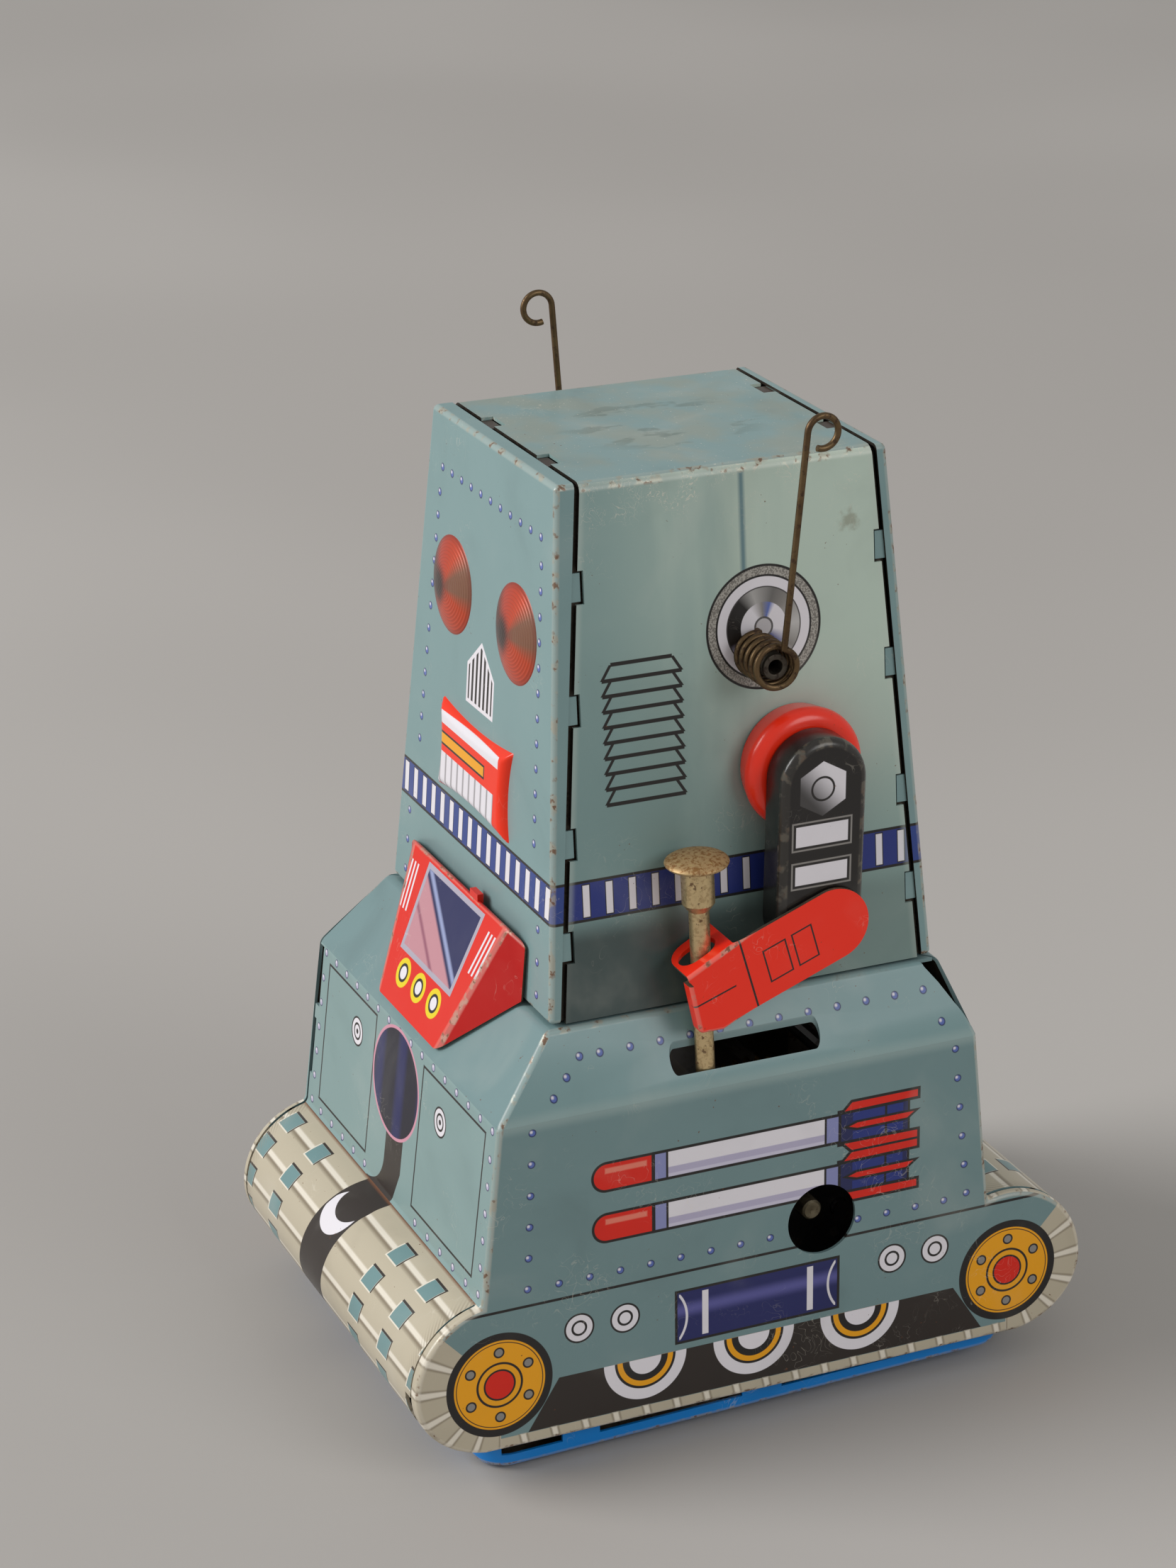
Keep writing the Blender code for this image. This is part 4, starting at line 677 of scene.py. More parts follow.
def eyePrint():
    # red lacquer over pressed rings: sectors of painted reflection, a patch of painted shade on one side
    art = Art("eye_lacquer", "red", rough=0.34, metal=0.15, coat=0.35)
    across, up = art.x - art.x.do("SIGN") * head["eyeX"], art.z - head["eyeZ"]
    gap = art.far(art.spot(across, up), (0.0, 0.0))
    # painted reflection: light and dark sectors round the dome
    reflectionSectors = art.ramp(art.turn(across, up), *eyeReflection)
    art.colour = art.mix(reflectionSectors, tint(128, 58, 40), art.step(gap, 2.4, 0.2) * 0.85)
    # painted shade on one side of the dome
    shadePatch = art.step(art.far(art.spot((across + 1.5) / 2.3, (up + 0.3) / 3.1), (0.0, 0.0)), 1.05, 0.35)
    art.lay(shadePatch * 0.9, tint(28, 15, 12))
    wave = art.math("SINE", gap * (2 * math.pi / 0.42))
    art.lay(art.step(wave, 0.2, 1.0) * 0.16, tint(90, 26, 18))
    art.lay(art.step(gap, 5.2, 6.2) * 0.5, tint(104, 34, 24))
    return art.finish(art.bump(wave, 0.25, 0.08))


mouthBars = {"white": ((-9.6, 83.3), (8.7, 84.8)), "yellow": ((-9.8, 80.7), (4.6, 82.2)),
             "teeth": ((-11.0, 75.2), (7.7, 79.7)), "toothPitch": 1.87}


def mouthPrint():
    # a white and a yellow bar over a row of shaded teeth
    art = Art("mouth_print", tint(246, 50, 14), rough=0.3)
    point = art.spot(art.x, art.z)
    art.ink(art.block(point, *mouthBars["white"]), "white")
    art.draw(art.block(point, *mouthBars["yellow"]), "yellow", width=0.28)
    start, pitch = mouthBars["teeth"][0][0], mouthBars["toothPitch"]
    rib = abs((art.x - start) % pitch - pitch / 2)
    shaded = art.mix("white", tint(160, 156, 160), art.step(rib, 0.55, 0.9))
    art.ink(art.block(point, *mouthBars["teeth"]), shaded)
    return art.age(0.7, bends=False, fade=0.05)


rocket = {
    "axis": 31.35, "pitch": 6.75, "half": 1.85, "box": (10.6, 20.4, 2.3), "panel": ((12.6, 0.7), (19.6, 1.8)),
    "strut": 17.2, "barrel": (-14.4, 10.8), "nose": (-20.6, -14.5), "gleam": ((-20.8, 0.45), (-15.3, 1.15)),
    "rings": ((-13.5, 0.85), (9.8, 0.9)), "fin": ((11.0, 2.0), (21.8, 2.1), (21.8, 3.4), (12.4, 3.4)),
    "spike": ((11.6, 0.0), (13.2, -0.5), (20.2, -0.5), (21.6, 0.5), (13.2, 0.5)),
}
cover = {
    "lineZ": 23.2, "lineEnd": 43.0, "line": 0.18, "pairY": 21.4, "pairHalf": 3.05, "pairZ": 18.7,
    "rings": ((2.0, "black"), (1.75, "white"), (1.05, "black"), (0.75, "white")),
    "plate": ((-11.5, 13.6), (10.8, 20.6)), "plateInk": (tint(36, 41, 98), tint(92, 92, 158)), "sheenZ": 18.0,
    "middle": -0.35, "barAt": 7.2, "bar": 0.42, "curveAt": (14.6, 17.1), "curveRadius": 4.9, "curve": 0.16,
}
opening = {
    "corners": ((-5.0, 6.1), (31.4, 6.1), (27.2, 12.6), (-5.0, 12.6)), "top": 12.6, "first": -15.7,
    "pitch": 14.8, "wheels": 3,
    "rings": ((5.55, "white"), (4.1, "black"), (3.75, "yellow"), (3.05, "black"), (2.15, "white")),
}
trackEnd = {
    "rimTop": 6.05, "slope": 1.07, "ribPitch": 4.1, "ribLean": 0.22, "ribTurn": 24.0, "ribShift": 8.0,
    "rib": 0.36, "ribShade": 0.22, "bolts": 6, "boltAt": 4.35, "bolt": ((0.72, "black"), (0.5, "grey")),
    "rings": ((6.94, "black"), (5.95, "yellow"), (5.7, "black"), (5.58, "yellow"), (3.05, "black"),
              (2.75, "yellow"), (2.1, "black"), (1.85, "red")),
}
sideStuds = (((-30.1, 45.8), (-31.1, 25.4), 6), ((-27.0, 25.3), (25.6, 25.2), 14),
             ((26.8, 45.7), (28.8, 25.6), 6))


def drawBendLight(art):
    # the bend between side and deck catches the light
    art.lay(art.step(abs(art.z - hull["bendZ"]), 1.5, 0.1) * 0.35, tint(178, 196, 192))


def drawRockets(art):
    # one drawing, used about the nearer of two axes
    y, half = art.y, rocket["half"]
    upper = art.z.do("GREATER_THAN", rocket["axis"] + rocket["pitch"] / 2)
    local = art.z - (upper * rocket["pitch"] + rocket["axis"])
    point, mirrored = art.spot(y, local), art.spot(y, abs(local))
    start, end, deep = rocket["box"]
    art.draw(art.block(point, (start, -deep), (end, deep)), "navy")
    art.ink(art.block(mirrored, *rocket["panel"]), "royal")
    art.ink((abs(y - rocket["strut"]) - 0.16) & (abs(local) - 2.2), "black")
    art.draw(art.wedge(mirrored, *rocket["fin"]), "red", width=0.38)
    art.draw(art.wedge(point, *rocket["spike"]), "red")
    start, end = rocket["barrel"]
    barrel = art.block(point, (start, -half), (end, half))
    white = art.mix("white", tint(208, 204, 224), art.step(local, -0.9, -1.2))
    art.draw(barrel, art.mix(white, "lilac", art.step(abs(local + 0.8), 0.5, 0.35)), width=0.38)
    rings = reduce(Val.__or__, [abs(y - place) - width for place, width in rocket["rings"]])
    art.ink((rings - 0.2) & barrel, "black")
    art.ink((rings + 0.1) & (barrel + 0.2), art.mix("sky", "lilac", 0.4))
    start, end = rocket["nose"]
    nose = art.block(point, (start, -half), (end, half)) | art.disc(point, (start, 0.0), half)
    art.draw(nose, "red", width=0.35)
    art.ink(art.block(point, *rocket["gleam"]), "redLight", 0.2)


def drawTrackCover(art, point):
    # a line, two pairs of rings, a blue plate with white bars and curves
    y, z = art.y, art.z
    art.ink((abs(z - cover["lineZ"]) - cover["line"]) & (abs(y) - cover["lineEnd"]), "black")
    twin = abs(abs(abs(y) - cover["pairY"]) - cover["pairHalf"])
    art.rounds(art.far(art.spot(twin, z), (0.0, cover["pairZ"])), *cover["rings"])
    plate = art.block(point, *cover["plate"])
    art.draw(plate, art.mix(*cover["plateInk"], art.step(abs(z - cover["sheenZ"]), 1.4, 0.0)), width=0.35)
    across = abs(y - cover["middle"])
    art.ink((abs(across - cover["barAt"]) - cover["bar"]) & (plate + 0.5), "white")
    curve = abs(art.far(art.spot(across, z), cover["curveAt"]) - cover["curveRadius"]) - cover["curve"]
    art.ink(curve & (plate + 0.4), "white")


def drawRoadWheels(art):
    # dark opening with the lower halves of the road wheels, each drawn about the nearest centre
    zone = art.wedge(art.spot(abs(art.y), art.z), *opening["corners"])
    art.ink(zone, "soot")
    first, pitch, last = opening["first"], opening["pitch"], opening["wheels"] - 1.0
    index = art.node("Clamp", None, {0: ((art.y - first) / pitch).do("ROUND"), 1: 0.0, 2: last})
    gap = art.far(art.spot(art.y - (index * pitch + first), art.z), (0.0, opening["top"]))
    art.rounds(gap, *opening["rings"], inside=(art.z - opening["top"]) & zone)


def endRib(degrees, scale):
    # distance to the nearest rib that points away from the roll's axis
    step = trackEnd["ribTurn"]
    return abs((degrees + trackEnd["ribShift"]) % step - step / 2) * scale - trackEnd["rib"]


def drawRibs(art, rib, zone):
    art.ink(zone, "tan")
    art.ink((rib - trackEnd["ribShade"]) & zone, "tanDeep", 0.3)
    art.ink(rib & zone, "tanLight", 0.25)


def drawTrackEnds(art):
    # ribbed tan rim under the track and round its ends, yellow discs with bolts
    ahead, above = abs(art.y) - hull["trackY"], art.z - hull["trackZ"]
    angle = art.math("ARCTAN2", above, ahead)
    pitch, far = trackEnd["ribPitch"], 1000.0
    bottomRib = abs((art.y + art.z * trackEnd["ribLean"]) % pitch - pitch / 2) - trackEnd["rib"]
    bottomRib = bottomRib + (ahead & 0.0) * far  # none past the axis
    roundRib = endRib(angle * math.degrees(1), 0.15) - (ahead | 0.0) * far
    nose = (above - ahead * trackEnd["slope"]) & -ahead
    drawRibs(art, bottomRib | roundRib, nose | (art.z - trackEnd["rimTop"]))
    gap = art.far(art.spot(ahead, above), (0.0, 0.0))
    art.rounds(gap, *trackEnd["rings"])
    sector = 2 * math.pi / trackEnd["bolts"]
    turn = angle % sector - sector / 2
    near = art.spot(gap * turn.do("COSINE"), gap * turn.do("SINE"))
    art.rounds(art.far(near, (trackEnd["boltAt"], 0.0)), *trackEnd["bolt"])


def hullSidePrint():
    # the ground here is the darker copy: painted shade on the hull's side
    art = Art("hull_side_print", "groundShaded")
    point = art.spot(art.y, art.z)
    drawBendLight(art)
    art.studs(point, *sideStuds)
    drawRockets(art)
    drawTrackCover(art, point)
    drawRoadWheels(art)
    drawTrackEnds(art)
    return art.age(sheen=0.3)


doors = {
    "studs": (((-27.3, 46.2), (28.8, 46.2), 16), ((28.9, 42.6), (29.4, 25.2), 6),
              ((-27.6, 42.6), (-28.0, 25.2), 6),
              ((9.0, 24.9), (25.6, 24.9), 5), ((-24.6, 24.9), (-8.5, 24.9), 5)),
    "panels": (((-25.7, 26.4), (-8.7, 45.2)), ((7.3, 26.4), (27.0, 45.2))), "line": 0.16,
    "knobs": ((-14.7, 40.5), (13.6, 40.5)),
    "rings": ((1.95, "black"), (1.7, "white"), (1.15, "black"), (0.85, "white"), (0.35, "black")),
    "hose": ((-2.5, 20.0), (-0.5, 20.0), (3.0, 28.5), (3.0, 34.0), (-2.5, 34.0)),
    "flare": ((-7.0, 20.0), (-2.3, 28.4)), "flareRound": ((-6.9, 28.6), 4.4),
    "port": (-0.95, 39.3), "portRadius": 7.1, "portWidth": 1.06,
    "portInk": (tint(12, 12, 36), tint(26, 32, 94)),
    "rearStuds": (((-27.3, 45.6), (27.3, 45.6), 15), ((28.6, 42.0), (29.2, 25.2), 5),
                  ((-28.6, 42.0), (-29.2, 25.2), 5)),
    "rearPanel": ((-24.5, 26.4), (24.5, 43.6)),
}


def hullFrontPrint():
    # two doors with round knobs, a port between them and its hose down to the roll
    art = Art("hull_front_print", tint(134, 160, 159))
    point = art.spot(art.x, art.z)
    art.studs(point, *doors["studs"], size=endPanel["stud"], fill="lilac")
    for panel in doors["panels"]:
        art.ink(abs(art.block(point, *panel)) - doors["line"], "black")
    for knob in doors["knobs"]:
        art.rounds(art.far(point, knob), *doors["rings"])
    flare = art.block(point, *doors["flare"]) & -art.disc(point, *doors["flareRound"])
    art.ink(art.wedge(point, *doors["hose"]) | flare, "soot")
    x, z = doors["port"]
    port = art.disc(art.spot((art.x - x) / doors["portWidth"], art.z), (0.0, z), doors["portRadius"])
    shade = art.step(art.math("SINE", art.x * 0.9 + 1.2), -0.3, 1.0)
    art.draw(port, art.mix(*doors["portInk"], shade * 0.8), "pink", 0.4)
    return art.age()


def hullRearPrint():
    art = Art("hull_rear_print", "ground")
    point = art.spot(art.x, art.z)
    art.studs(point, *doors["rearStuds"], size=endPanel["stud"])
    art.ink(abs(art.block(point, *doors["rearPanel"])) - doors["line"], "black")
    return art.age()


track = {
    "start": 6.8, "slant": 0.228, "rowPitch": 4.75, "columnPitch": 9.85, "column": 11.4, "clear": (-3.4, 9.0),
    "lug": (((-1.7, -1.35), (1.85, 1.65), "soot"), ((-1.85, -1.5), (1.6, 1.3), "tanLight"),
            ((-1.6, -1.3), (1.55, 1.3), "teal")),
    "belt": (-3.8, 3.9), "moon": ((-3.9, 9.2), 3.6), "moonBite": ((-3.2, 11.6), 3.4),
    "rust": (-37.5, 32.6, 16.0), "edge": 29.75,
}


def hullRollPrint():
    # tan track: white cross bars with bevelled teal lugs on them, a black belt in the middle
    art = Art("hull_roll_print", "tan", rough=0.33)
    ahead, above = abs(art.y) - hull["trackY"], art.z - hull["trackZ"]
    run = art.math("ARCTAN2", above, ahead) * hull["reach"]  # arc length round the roll from its nose
    lane = art.x - (run - track["start"]) * track["slant"]
    row, column = (run - track["start"]) / track["rowPitch"], (lane - track["column"]) / track["columnPitch"]
    up = (row - row.do("ROUND")) * track["rowPitch"]
    across = (column - column.do("ROUND")) * track["columnPitch"]
    art.ink(abs(up + 0.35) - 0.55, "tanDeep", 0.5)
    art.ink(abs(up) - 0.36, "tanLight", 0.25)
    middle, reach = track["clear"]
    apart = reach - abs(lane - middle)  # no lugs beside the belt
    for low, high, colour in track["lug"]:
        art.ink(art.block(art.spot(across, up), low, high) & apart, colour)
    middle, half = track["belt"]
    strap = abs(lane - middle) - half
    art.ink(strap, "soot")
    place = art.spot(lane, run)
    art.ink(art.disc(place, *track["moon"]) & (strap + 0.3), "white")
    art.ink(art.disc(place, *track["moonBite"]), "soot")
    front, rear, height = track["rust"]
    art.ink((front - art.y) & (art.y - rear) & (height - art.z), "rust", 0.4)
    hatch = art.math("SINE", (art.x + run) * 9.0)
    art.lay(art.step(abs(art.x), 27.0, 29.6) * art.step(hatch, -0.2, 0.4) * 0.5, "tanDeep")
    # the side's rounded edge carries on its ribs
    drawRibs(art, endRib(run * (math.degrees(1) / hull["reach"]), 0.17), track["edge"] - abs(art.x))
    return art.age(1.2)


deckMarks = {"slope": tint(131, 162, 164), "lean": 0.4444, "edge": (25.8, 26.05),
             "studs": (((-20.15, 53.2), (23.5, 53.2), 12), ((-22.8, 53.2), (-26.9, 49.2), 3),
                       ((25.3, 49.3), (26.3, 49.3), 1))}


def hullDeckPrint():
    # the darker ground as painted shade, the leaning sides painted lighter as if lit from above, with their
    # rivets and the painted highlight at the bend on them alone
    art = Art("hull_deck_print", "groundShaded")
    slope = art.step(abs(art.x) + (art.z - hull["deckZ"]) * deckMarks["lean"], *deckMarks["edge"])
    before = art.colour
    # painted light: the leaning sides are lighter than the rest of the deck
    art.colour = art.mix(before, deckMarks["slope"], slope)
    art.studs(art.spot(art.y, art.z), *deckMarks["studs"])
    drawBendLight(art)
    art.colour = art.mix(before, art.colour, slope)
    return art.age(1.2, sheen=0.14)


screen = {
    "foot": 48.4, "rise": 0.9195, "corners": ((-7.6, 7.2), (7.6, 7.2), (8.3, 17.2), (-8.3, 17.2)),
    "frame": 0.7, "frameInk": tint(176, 170, 184), "pink": tint(196, 140, 150), "split": (0.35, 0.6, 6.9),
    "stripes": ((-0.7, 0.25, tint(150, 160, 200)), (2.2, 0.2, tint(150, 90, 110))),
    "lamps": 2.5, "lampUp": 4.2, "rings": ((1.9, tint(236, 212, 26)), (1.22, "black"), (0.84, "white")),
    "vent": ((7.9, 10.6), (10.75, 16.6)), "ventLean": 0.19, "ventPitch": 0.95, "ventHalf": 0.2,
}


def consolePrint():
    # a plain test card of slanting fields on the sloping front, three lamps under it, vents beside it
    art = Art("console_print", "red", rough=0.32)
    x, up = art.x, (art.z - screen["foot"]) / screen["rise"]
    glass = art.wedge(art.spot(x, up), *screen["corners"])
    art.ink(glass - screen["frame"], screen["frameInk"])
    slantX, slantUp, start = screen["split"]
    split = up * slantUp + x * slantX - start
    art.ink(glass, art.mix("navy", screen["pink"], art.mask(split, 0.3)))
    for shift, half, colour in screen["stripes"]:
        art.ink((abs(split + shift) - half) & glass, colour, 0.3)
    lamp = abs(abs(x) - screen["lamps"]) - screen["lamps"]
    art.rounds(art.far(art.spot(lamp, up), (0.0, screen["lampUp"])), *screen["rings"])
    across, start, pitch = abs(x) - up * screen["ventLean"], screen["vent"][0][0], screen["ventPitch"]
    vent = abs((across - start) % pitch - pitch / 2) - screen["ventHalf"]
    art.ink(vent & art.block(art.spot(across, up), *screen["vent"]), "white")
    return art.age(0.9, fade=0.05)


armMarks = {"outside": (30.3, 30.6), "nut": (7.0, 83.9), "nutHalf": 3.0, "nutSides": 6, "bolt": 1.45,
            "boltLine": 0.14, "labels": (((3.0, 76.3), (11.0, 80.0)), ((3.0, 71.4), (11.0, 74.9))),
            "border": ((0.0, "grey"), (0.22, "black"), (0.55, "white"))}


def armPrint():
    # on the outside alone: a shaded hexagon nut with its bolt, two white labels
    art = Art("arm_print", tint(26, 23, 22), rough=0.24, coat=0.4)
    point, nutAt = art.spot(art.y, art.z), armMarks["nut"]
    before = art.colour
    turns = np.linspace(0, 2 * np.pi, armMarks["nutSides"], endpoint=False)
    normals = np.column_stack([np.cos(turns), np.sin(turns)])
    flats = [art.vec("DOT_PRODUCT", point, (*normal, -normal @ nutAt), out=1) for normal in normals]
    light = art.step((art.y - nutAt[0]) * 0.9 + (art.z - nutAt[1]) * 0.8, 2.6, -3.0)
    art.ink(reduce(Val.__and__, flats) - armMarks["nutHalf"], art.mix("white", tint(70, 68, 68), light))
    art.ink(abs(art.disc(point, nutAt, armMarks["bolt"])) - armMarks["boltLine"], "black")
    for label in armMarks["labels"]:
        gap = art.block(point, *label)
        for inset, colour in armMarks["border"]:
            art.ink(gap + inset, colour)
    art.colour = art.mix(before, art.colour, art.step(abs(art.x), *armMarks["outside"]))
    return art.age(0.9, rub=0.3, sheen=0.08)


handMarks = {"outside": (30.9, 31.2), "wrist": ((-4.0, 66.2), (-1.3, 57.25)), "wristLine": 0.13, "line": 0.11,
             "palm": ((-9.6, 59.0), (-4.6, 60.8)), "palmZone": ((-9.8, 58.0), (-4.4, 61.5)),
             "boxes": (((-0.6, 60.4), (2.6, 65.0)), ((3.6, 60.4), (6.4, 65.0))), "boxZ": 63.5,
             "boxLean": 0.3, "tilt": 21.0}


def forearmPrint():
    # thin black lines on the outside: across the wrist and the hand, and two boxes along the arm
    art = Art("forearm_print", tint(255, 46, 18), rough=0.3, coat=0.3)
    point = art.spot(art.y, art.z)
    palm = abs(art.edge(point, *handMarks["palm"])) - handMarks["line"]
    lines = [abs(art.edge(point, *handMarks["wrist"])) - handMarks["wristLine"],
             palm & art.block(point, *handMarks["palmZone"])]
    tilt = math.tan(math.radians(handMarks["tilt"]))
    upright = art.spot(art.y + (art.z - handMarks["boxZ"]) * handMarks["boxLean"], art.z - art.y * tilt)
    lines += [abs(art.block(upright, *box)) - handMarks["line"] for box in handMarks["boxes"]]
    facing = art.step(abs(art.x), *handMarks["outside"])
    art.lay(art.mask(reduce(Val.__or__, lines)) * facing, "black")
    return art.age(0.9, fade=0.05)


def plainEnamel(name, colour, rough, coat, bends=True):
    return Art(name, colour, rough, coat=coat).age(bends=bends, fade=0.05)


def agedMetal(name, colour, rust, rough, cover, size=1.4):
    # bare metal with brown tarnish in specks
    art = Art(name, colour, rough, metal=0.9, coat=0.0)
    stain = art.step(art.noise(size, 5.0, rough=0.65), 0.62 - cover * 0.2, 0.72 - cover * 0.12)
    art.lay(art.step(art.noise(size * 5, 3.0), 0.4, 0.7) * 0.5, rust)
    art.lay(stain * 0.85, rust)
    art.rough = stain * 0.3 + rough
    art.metal = 0.9 - stain * 0.45
    return art.finish(art.bump(art.noise(size * 0.5, 4.0) - stain * 0.4, 0.25, 0.08))


def leverMetal():
    # dull plated rod, its head's top speckled with rust
    art = Art("lever_metal", tint(218, 194, 148), 0.38, metal=0.85, coat=0.0)
    grain = art.noise(0.55, 4.0, rough=0.65)
    top = art.step(art.z, 75.4, 76.4)
    art.lay(art.step(grain, 0.47, 0.6) * (top * 0.55 + 0.35), tint(134, 96, 56))
    spots = art.step(art.noise(0.9, 3.0), 0.6, 0.66)
    art.lay(spots * 0.8, tint(84, 52, 32))
    art.lay(top * 0.55, tint(150, 104, 54))
    art.lay(art.step(art.noise(0.8, 2.0), 0.6, 0.7) * top * 0.45, tint(200, 172, 118))
    art.rough = spots * 0.3 + top * 0.2 + 0.36
    art.metal = 0.85 - spots * 0.5 - top * 0.4
    return art.finish(art.bump(grain, 0.3, 0.08))


finishes = {
    "hullSide": hullSidePrint(), "hullFront": hullFrontPrint(), "hullRear": hullRearPrint(),
    "hullRoll": hullRollPrint(), "hullDeck": hullDeckPrint(),
    "headSide": headSidePrint(), "headTop": headTopPrint(),
    "face": endPanelPrint("face_print", endPanel["face"], endPanel["nose"], 0.8),
    "headRear": endPanelPrint("head_rear_print", endPanel["rear"], None, 1.0),
    "eye": eyePrint(), "mouth": mouthPrint(), "console": consolePrint(),
    "arm": armPrint(), "forearm": forearmPrint(),
    # a darker copy of the console front's red for its plain top and sides: painted shade
    "consoleRed": plainEnamel("console_shaded_red", tint(192, 6, 2), 0.46, 0.0),
    "bossRed": plainEnamel("boss_red", tint(255, 52, 26), 0.24, 0.45, bends=False),
    "base": plainEnamel("base_blue", tint(6, 126, 208), 0.3, 0.3),
    "tin": agedMetal("bare_tin", tint(150, 140, 124), "rust", 0.45, 0.55),
    "brass": leverMetal(),
    "wire": agedMetal("spring_wire", tint(112, 92, 66), tint(62, 43, 32), 0.42, 0.55, 0.8),
    "stud": agedMetal("stud_steel", tint(84, 78, 70), tint(48, 36, 28), 0.5, 0.6, 0.8),
    "arbor": agedMetal("arbor_steel", tint(122, 114, 94), tint(74, 62, 46), 0.52, 0.5, 0.8),
    "steel": agedMetal("motor_steel", tint(150, 150, 150), tint(104, 84, 66), 0.36, 0.3, 2.0),
    "gear": agedMetal("gear_brass", tint(196, 162, 92), tint(120, 84, 44), 0.34, 0.3, 2.0),
    "wheel": agedMetal("wheel_tin", tint(128, 126, 122), tint(92, 74, 58), 0.45, 0.4, 1.6),
}
print("finishes ready:", len(finishes))


# Hull sheets

def hullProfile(sign, bendY, footY, count=22):
    # side outline of one end: straight panel, upper quarter of the roll, lower quarter to the lip
    foot = math.degrees(math.acos(min(1, (sign * footY - hull["trackY"]) / hull["reach"])))
    lip = math.degrees(math.asin((hull["openY"] - hull["trackY"]) / hull["reach"])) - 90
    upper = arc((0, hull["trackZ"]), (hull["reach"], hull["rise"]), foot, 0, count)
    lower = arc((0, hull["trackZ"]), (hull["reach"], hull["drop"]), 0, lip, count)
    roll = np.concatenate([upper, lower[1:]])
    roll[:, 0] = sign * (hull["trackY"] + roll[:, 0])
    return np.concatenate([[(bendY, hull["bendZ"])], roll])


def hullCage():
    # the two end profiles stand on both leaning sides; panels, rolls, sides and deck join them
    ends = [hullProfile(-1, hull["frontBendY"], hull["frontFootY"]),
            hullProfile(1, hull["rearBendY"], hull["rearFootY"])]
    count, inset = len(ends[0]), hull["flange"]
    flank = [np.column_stack([side * sideX(end[:, 1]), end]) for side in (1, -1) for end in ends]
    lips = [(side * (sideX(end[-1, 1]) - hull["rim"]), *end[-1]) for side in (1, -1) for end in ends]
    deck = [(side * deckHalfWidth, sign * hull["deckHalfLength"], hull["deckZ"])
            for side in (1, -1) for sign in (-1, 1)]
    inner = [(x - math.copysign(inset, x), y - math.copysign(inset, y), z) for x, y, z in deck]
    points = np.concatenate([*flank, lips, deck, inner])
    run = [np.arange(count) + i * count for i in range(4)]  # left front, left rear, right front, right rear
    lip, deckAt, innerAt = (np.arange(4) + 4 * count + 4 * i for i in range(3))
    faces, slots = [], []

    def panel(slot, *corners):
        faces.append(corners)
        slots.append(slot)

    panel(0, *run[0], *run[1][::-1])
    panel(0, *run[2], *run[3][::-1])
    for end in (0, 1):
        left, right = run[end], run[2 + end]
        panel(1 + end, left[0], left[1], right[1], right[0])
        for i in range(1, count - 2):
            panel(3, left[i], left[i + 1], right[i + 1], right[i])
        panel(3, left[-2], left[-1], lip[end], lip[2 + end], right[-1], right[-2])
        panel(4, left[0], right[0], deckAt[2 + end], deckAt[end])
        panel(4, deckAt[end], deckAt[2 + end], innerAt[2 + end], innerAt[end])
    for row in (0, 2):
        front, rear = run[row], run[row + 1]
        panel(4, front[0], rear[0], deckAt[row + 1], deckAt[row])
        panel(4, deckAt[row], deckAt[row + 1], innerAt[row + 1], innerAt[row])
        panel(0, front[-1], rear[-1], lip[row + 1], lip[row])
    return points, faces, slots


def seamLine(shift):
    # plan view of the seam between the two L-shaped sheets, moved across by shift
    rollX = sideX(hull["trackZ"]) - hull["seamInset"]
    cornerX = sideX(hull["bendZ"]) - hull["bend"] / 2
    front = [(-rollX, -beyond), (-rollX, hull["frontFootY"]), (-cornerX, hull["frontBendY"]),
             (-deckHalfWidth, -hull["deckHalfLength"])]
    rear = [(deckHalfWidth, hull["deckHalfLength"]), (cornerX, hull["rearBendY"]), (rollX, hull["rearFootY"]),
            (rollX, beyond)]
    line = np.array(front + [(0, 0)] + rear, float)
    line[:, 0] += shift
    line[len(front), 1] -= shift
    return line.tolist()


def hullCuts(side):
    # lever slot, slit and notch where the roll ends, and all that lies past the seam
    radius, bendZ = hull["slotWidth"] / 2, hull["bendZ"]
    ends = [(side * leverX, y) for y in (hull["slotFront"] + radius, hull["slotRear"] - radius)]
    slot = capsule(*ends, radius)
    past = seamLine(side * hull["seam"]) + [(-side * beyond, beyond), (-side * beyond, -beyond)]
    footY = (hull["frontFootY"] if side > 0 else hull["rearFootY"]) - side * hull["wall"]
    near, far = sorted((footY, -side * hull["cutY"]))
    edge = side * (sideX(hull["trackZ"]) - hull["seamInset"])
    slit = sorted((edge, edge - side * hull["fit"]))
    notch = sorted((edge - side * hull["fit"] / 2, edge - side * hull["notchWidth"]))
    tools = [prism(slot, bendZ - hull["bend"], hull["deckZ"] + hull["bend"], "Z")]
    if side > 0:
        # the keyhole, and the old seam that gapes at the rear corner of the deck and down the front corner
        tools.append(prism(circle(hull["keyhole"], hull["keyholeRadius"], 64), 0, hull["cutX"], "X"))
        tools.append(prism(hull["gape"], *hull["gapeHeight"], "Z"))
        tools += [slab(low, high) for low, high in hull["cornerGaps"]]
    tools.append(slab((slit[0], near, hull["cutZ"][0]), (slit[1], far, bendZ)))
    tools.append(slab((notch[0], near, hull["notchLow"]), (notch[1], far, hull["notchHigh"])))
    tools.append(prism(past, *hull["cutZ"], "Z"))
    return [("DIFFERENCE", tool) for tool in tools]


hullSkins = [finishes[key] for key in ("hullSide", "hullFront", "hullRear", "hullRoll", "hullDeck", "tin")]
for name, side in (("hull_front_left", 1), ("hull_rear_right", -1)):
    mesh = foldedSheet(name, *hullCage(), hullSkins, hull, (1, 0, 0), hullCuts(side))
    addPiece(name, mesh, "shell", "printed_tin", name + "_sheet")
print("hull sheets ready")


# Base pan

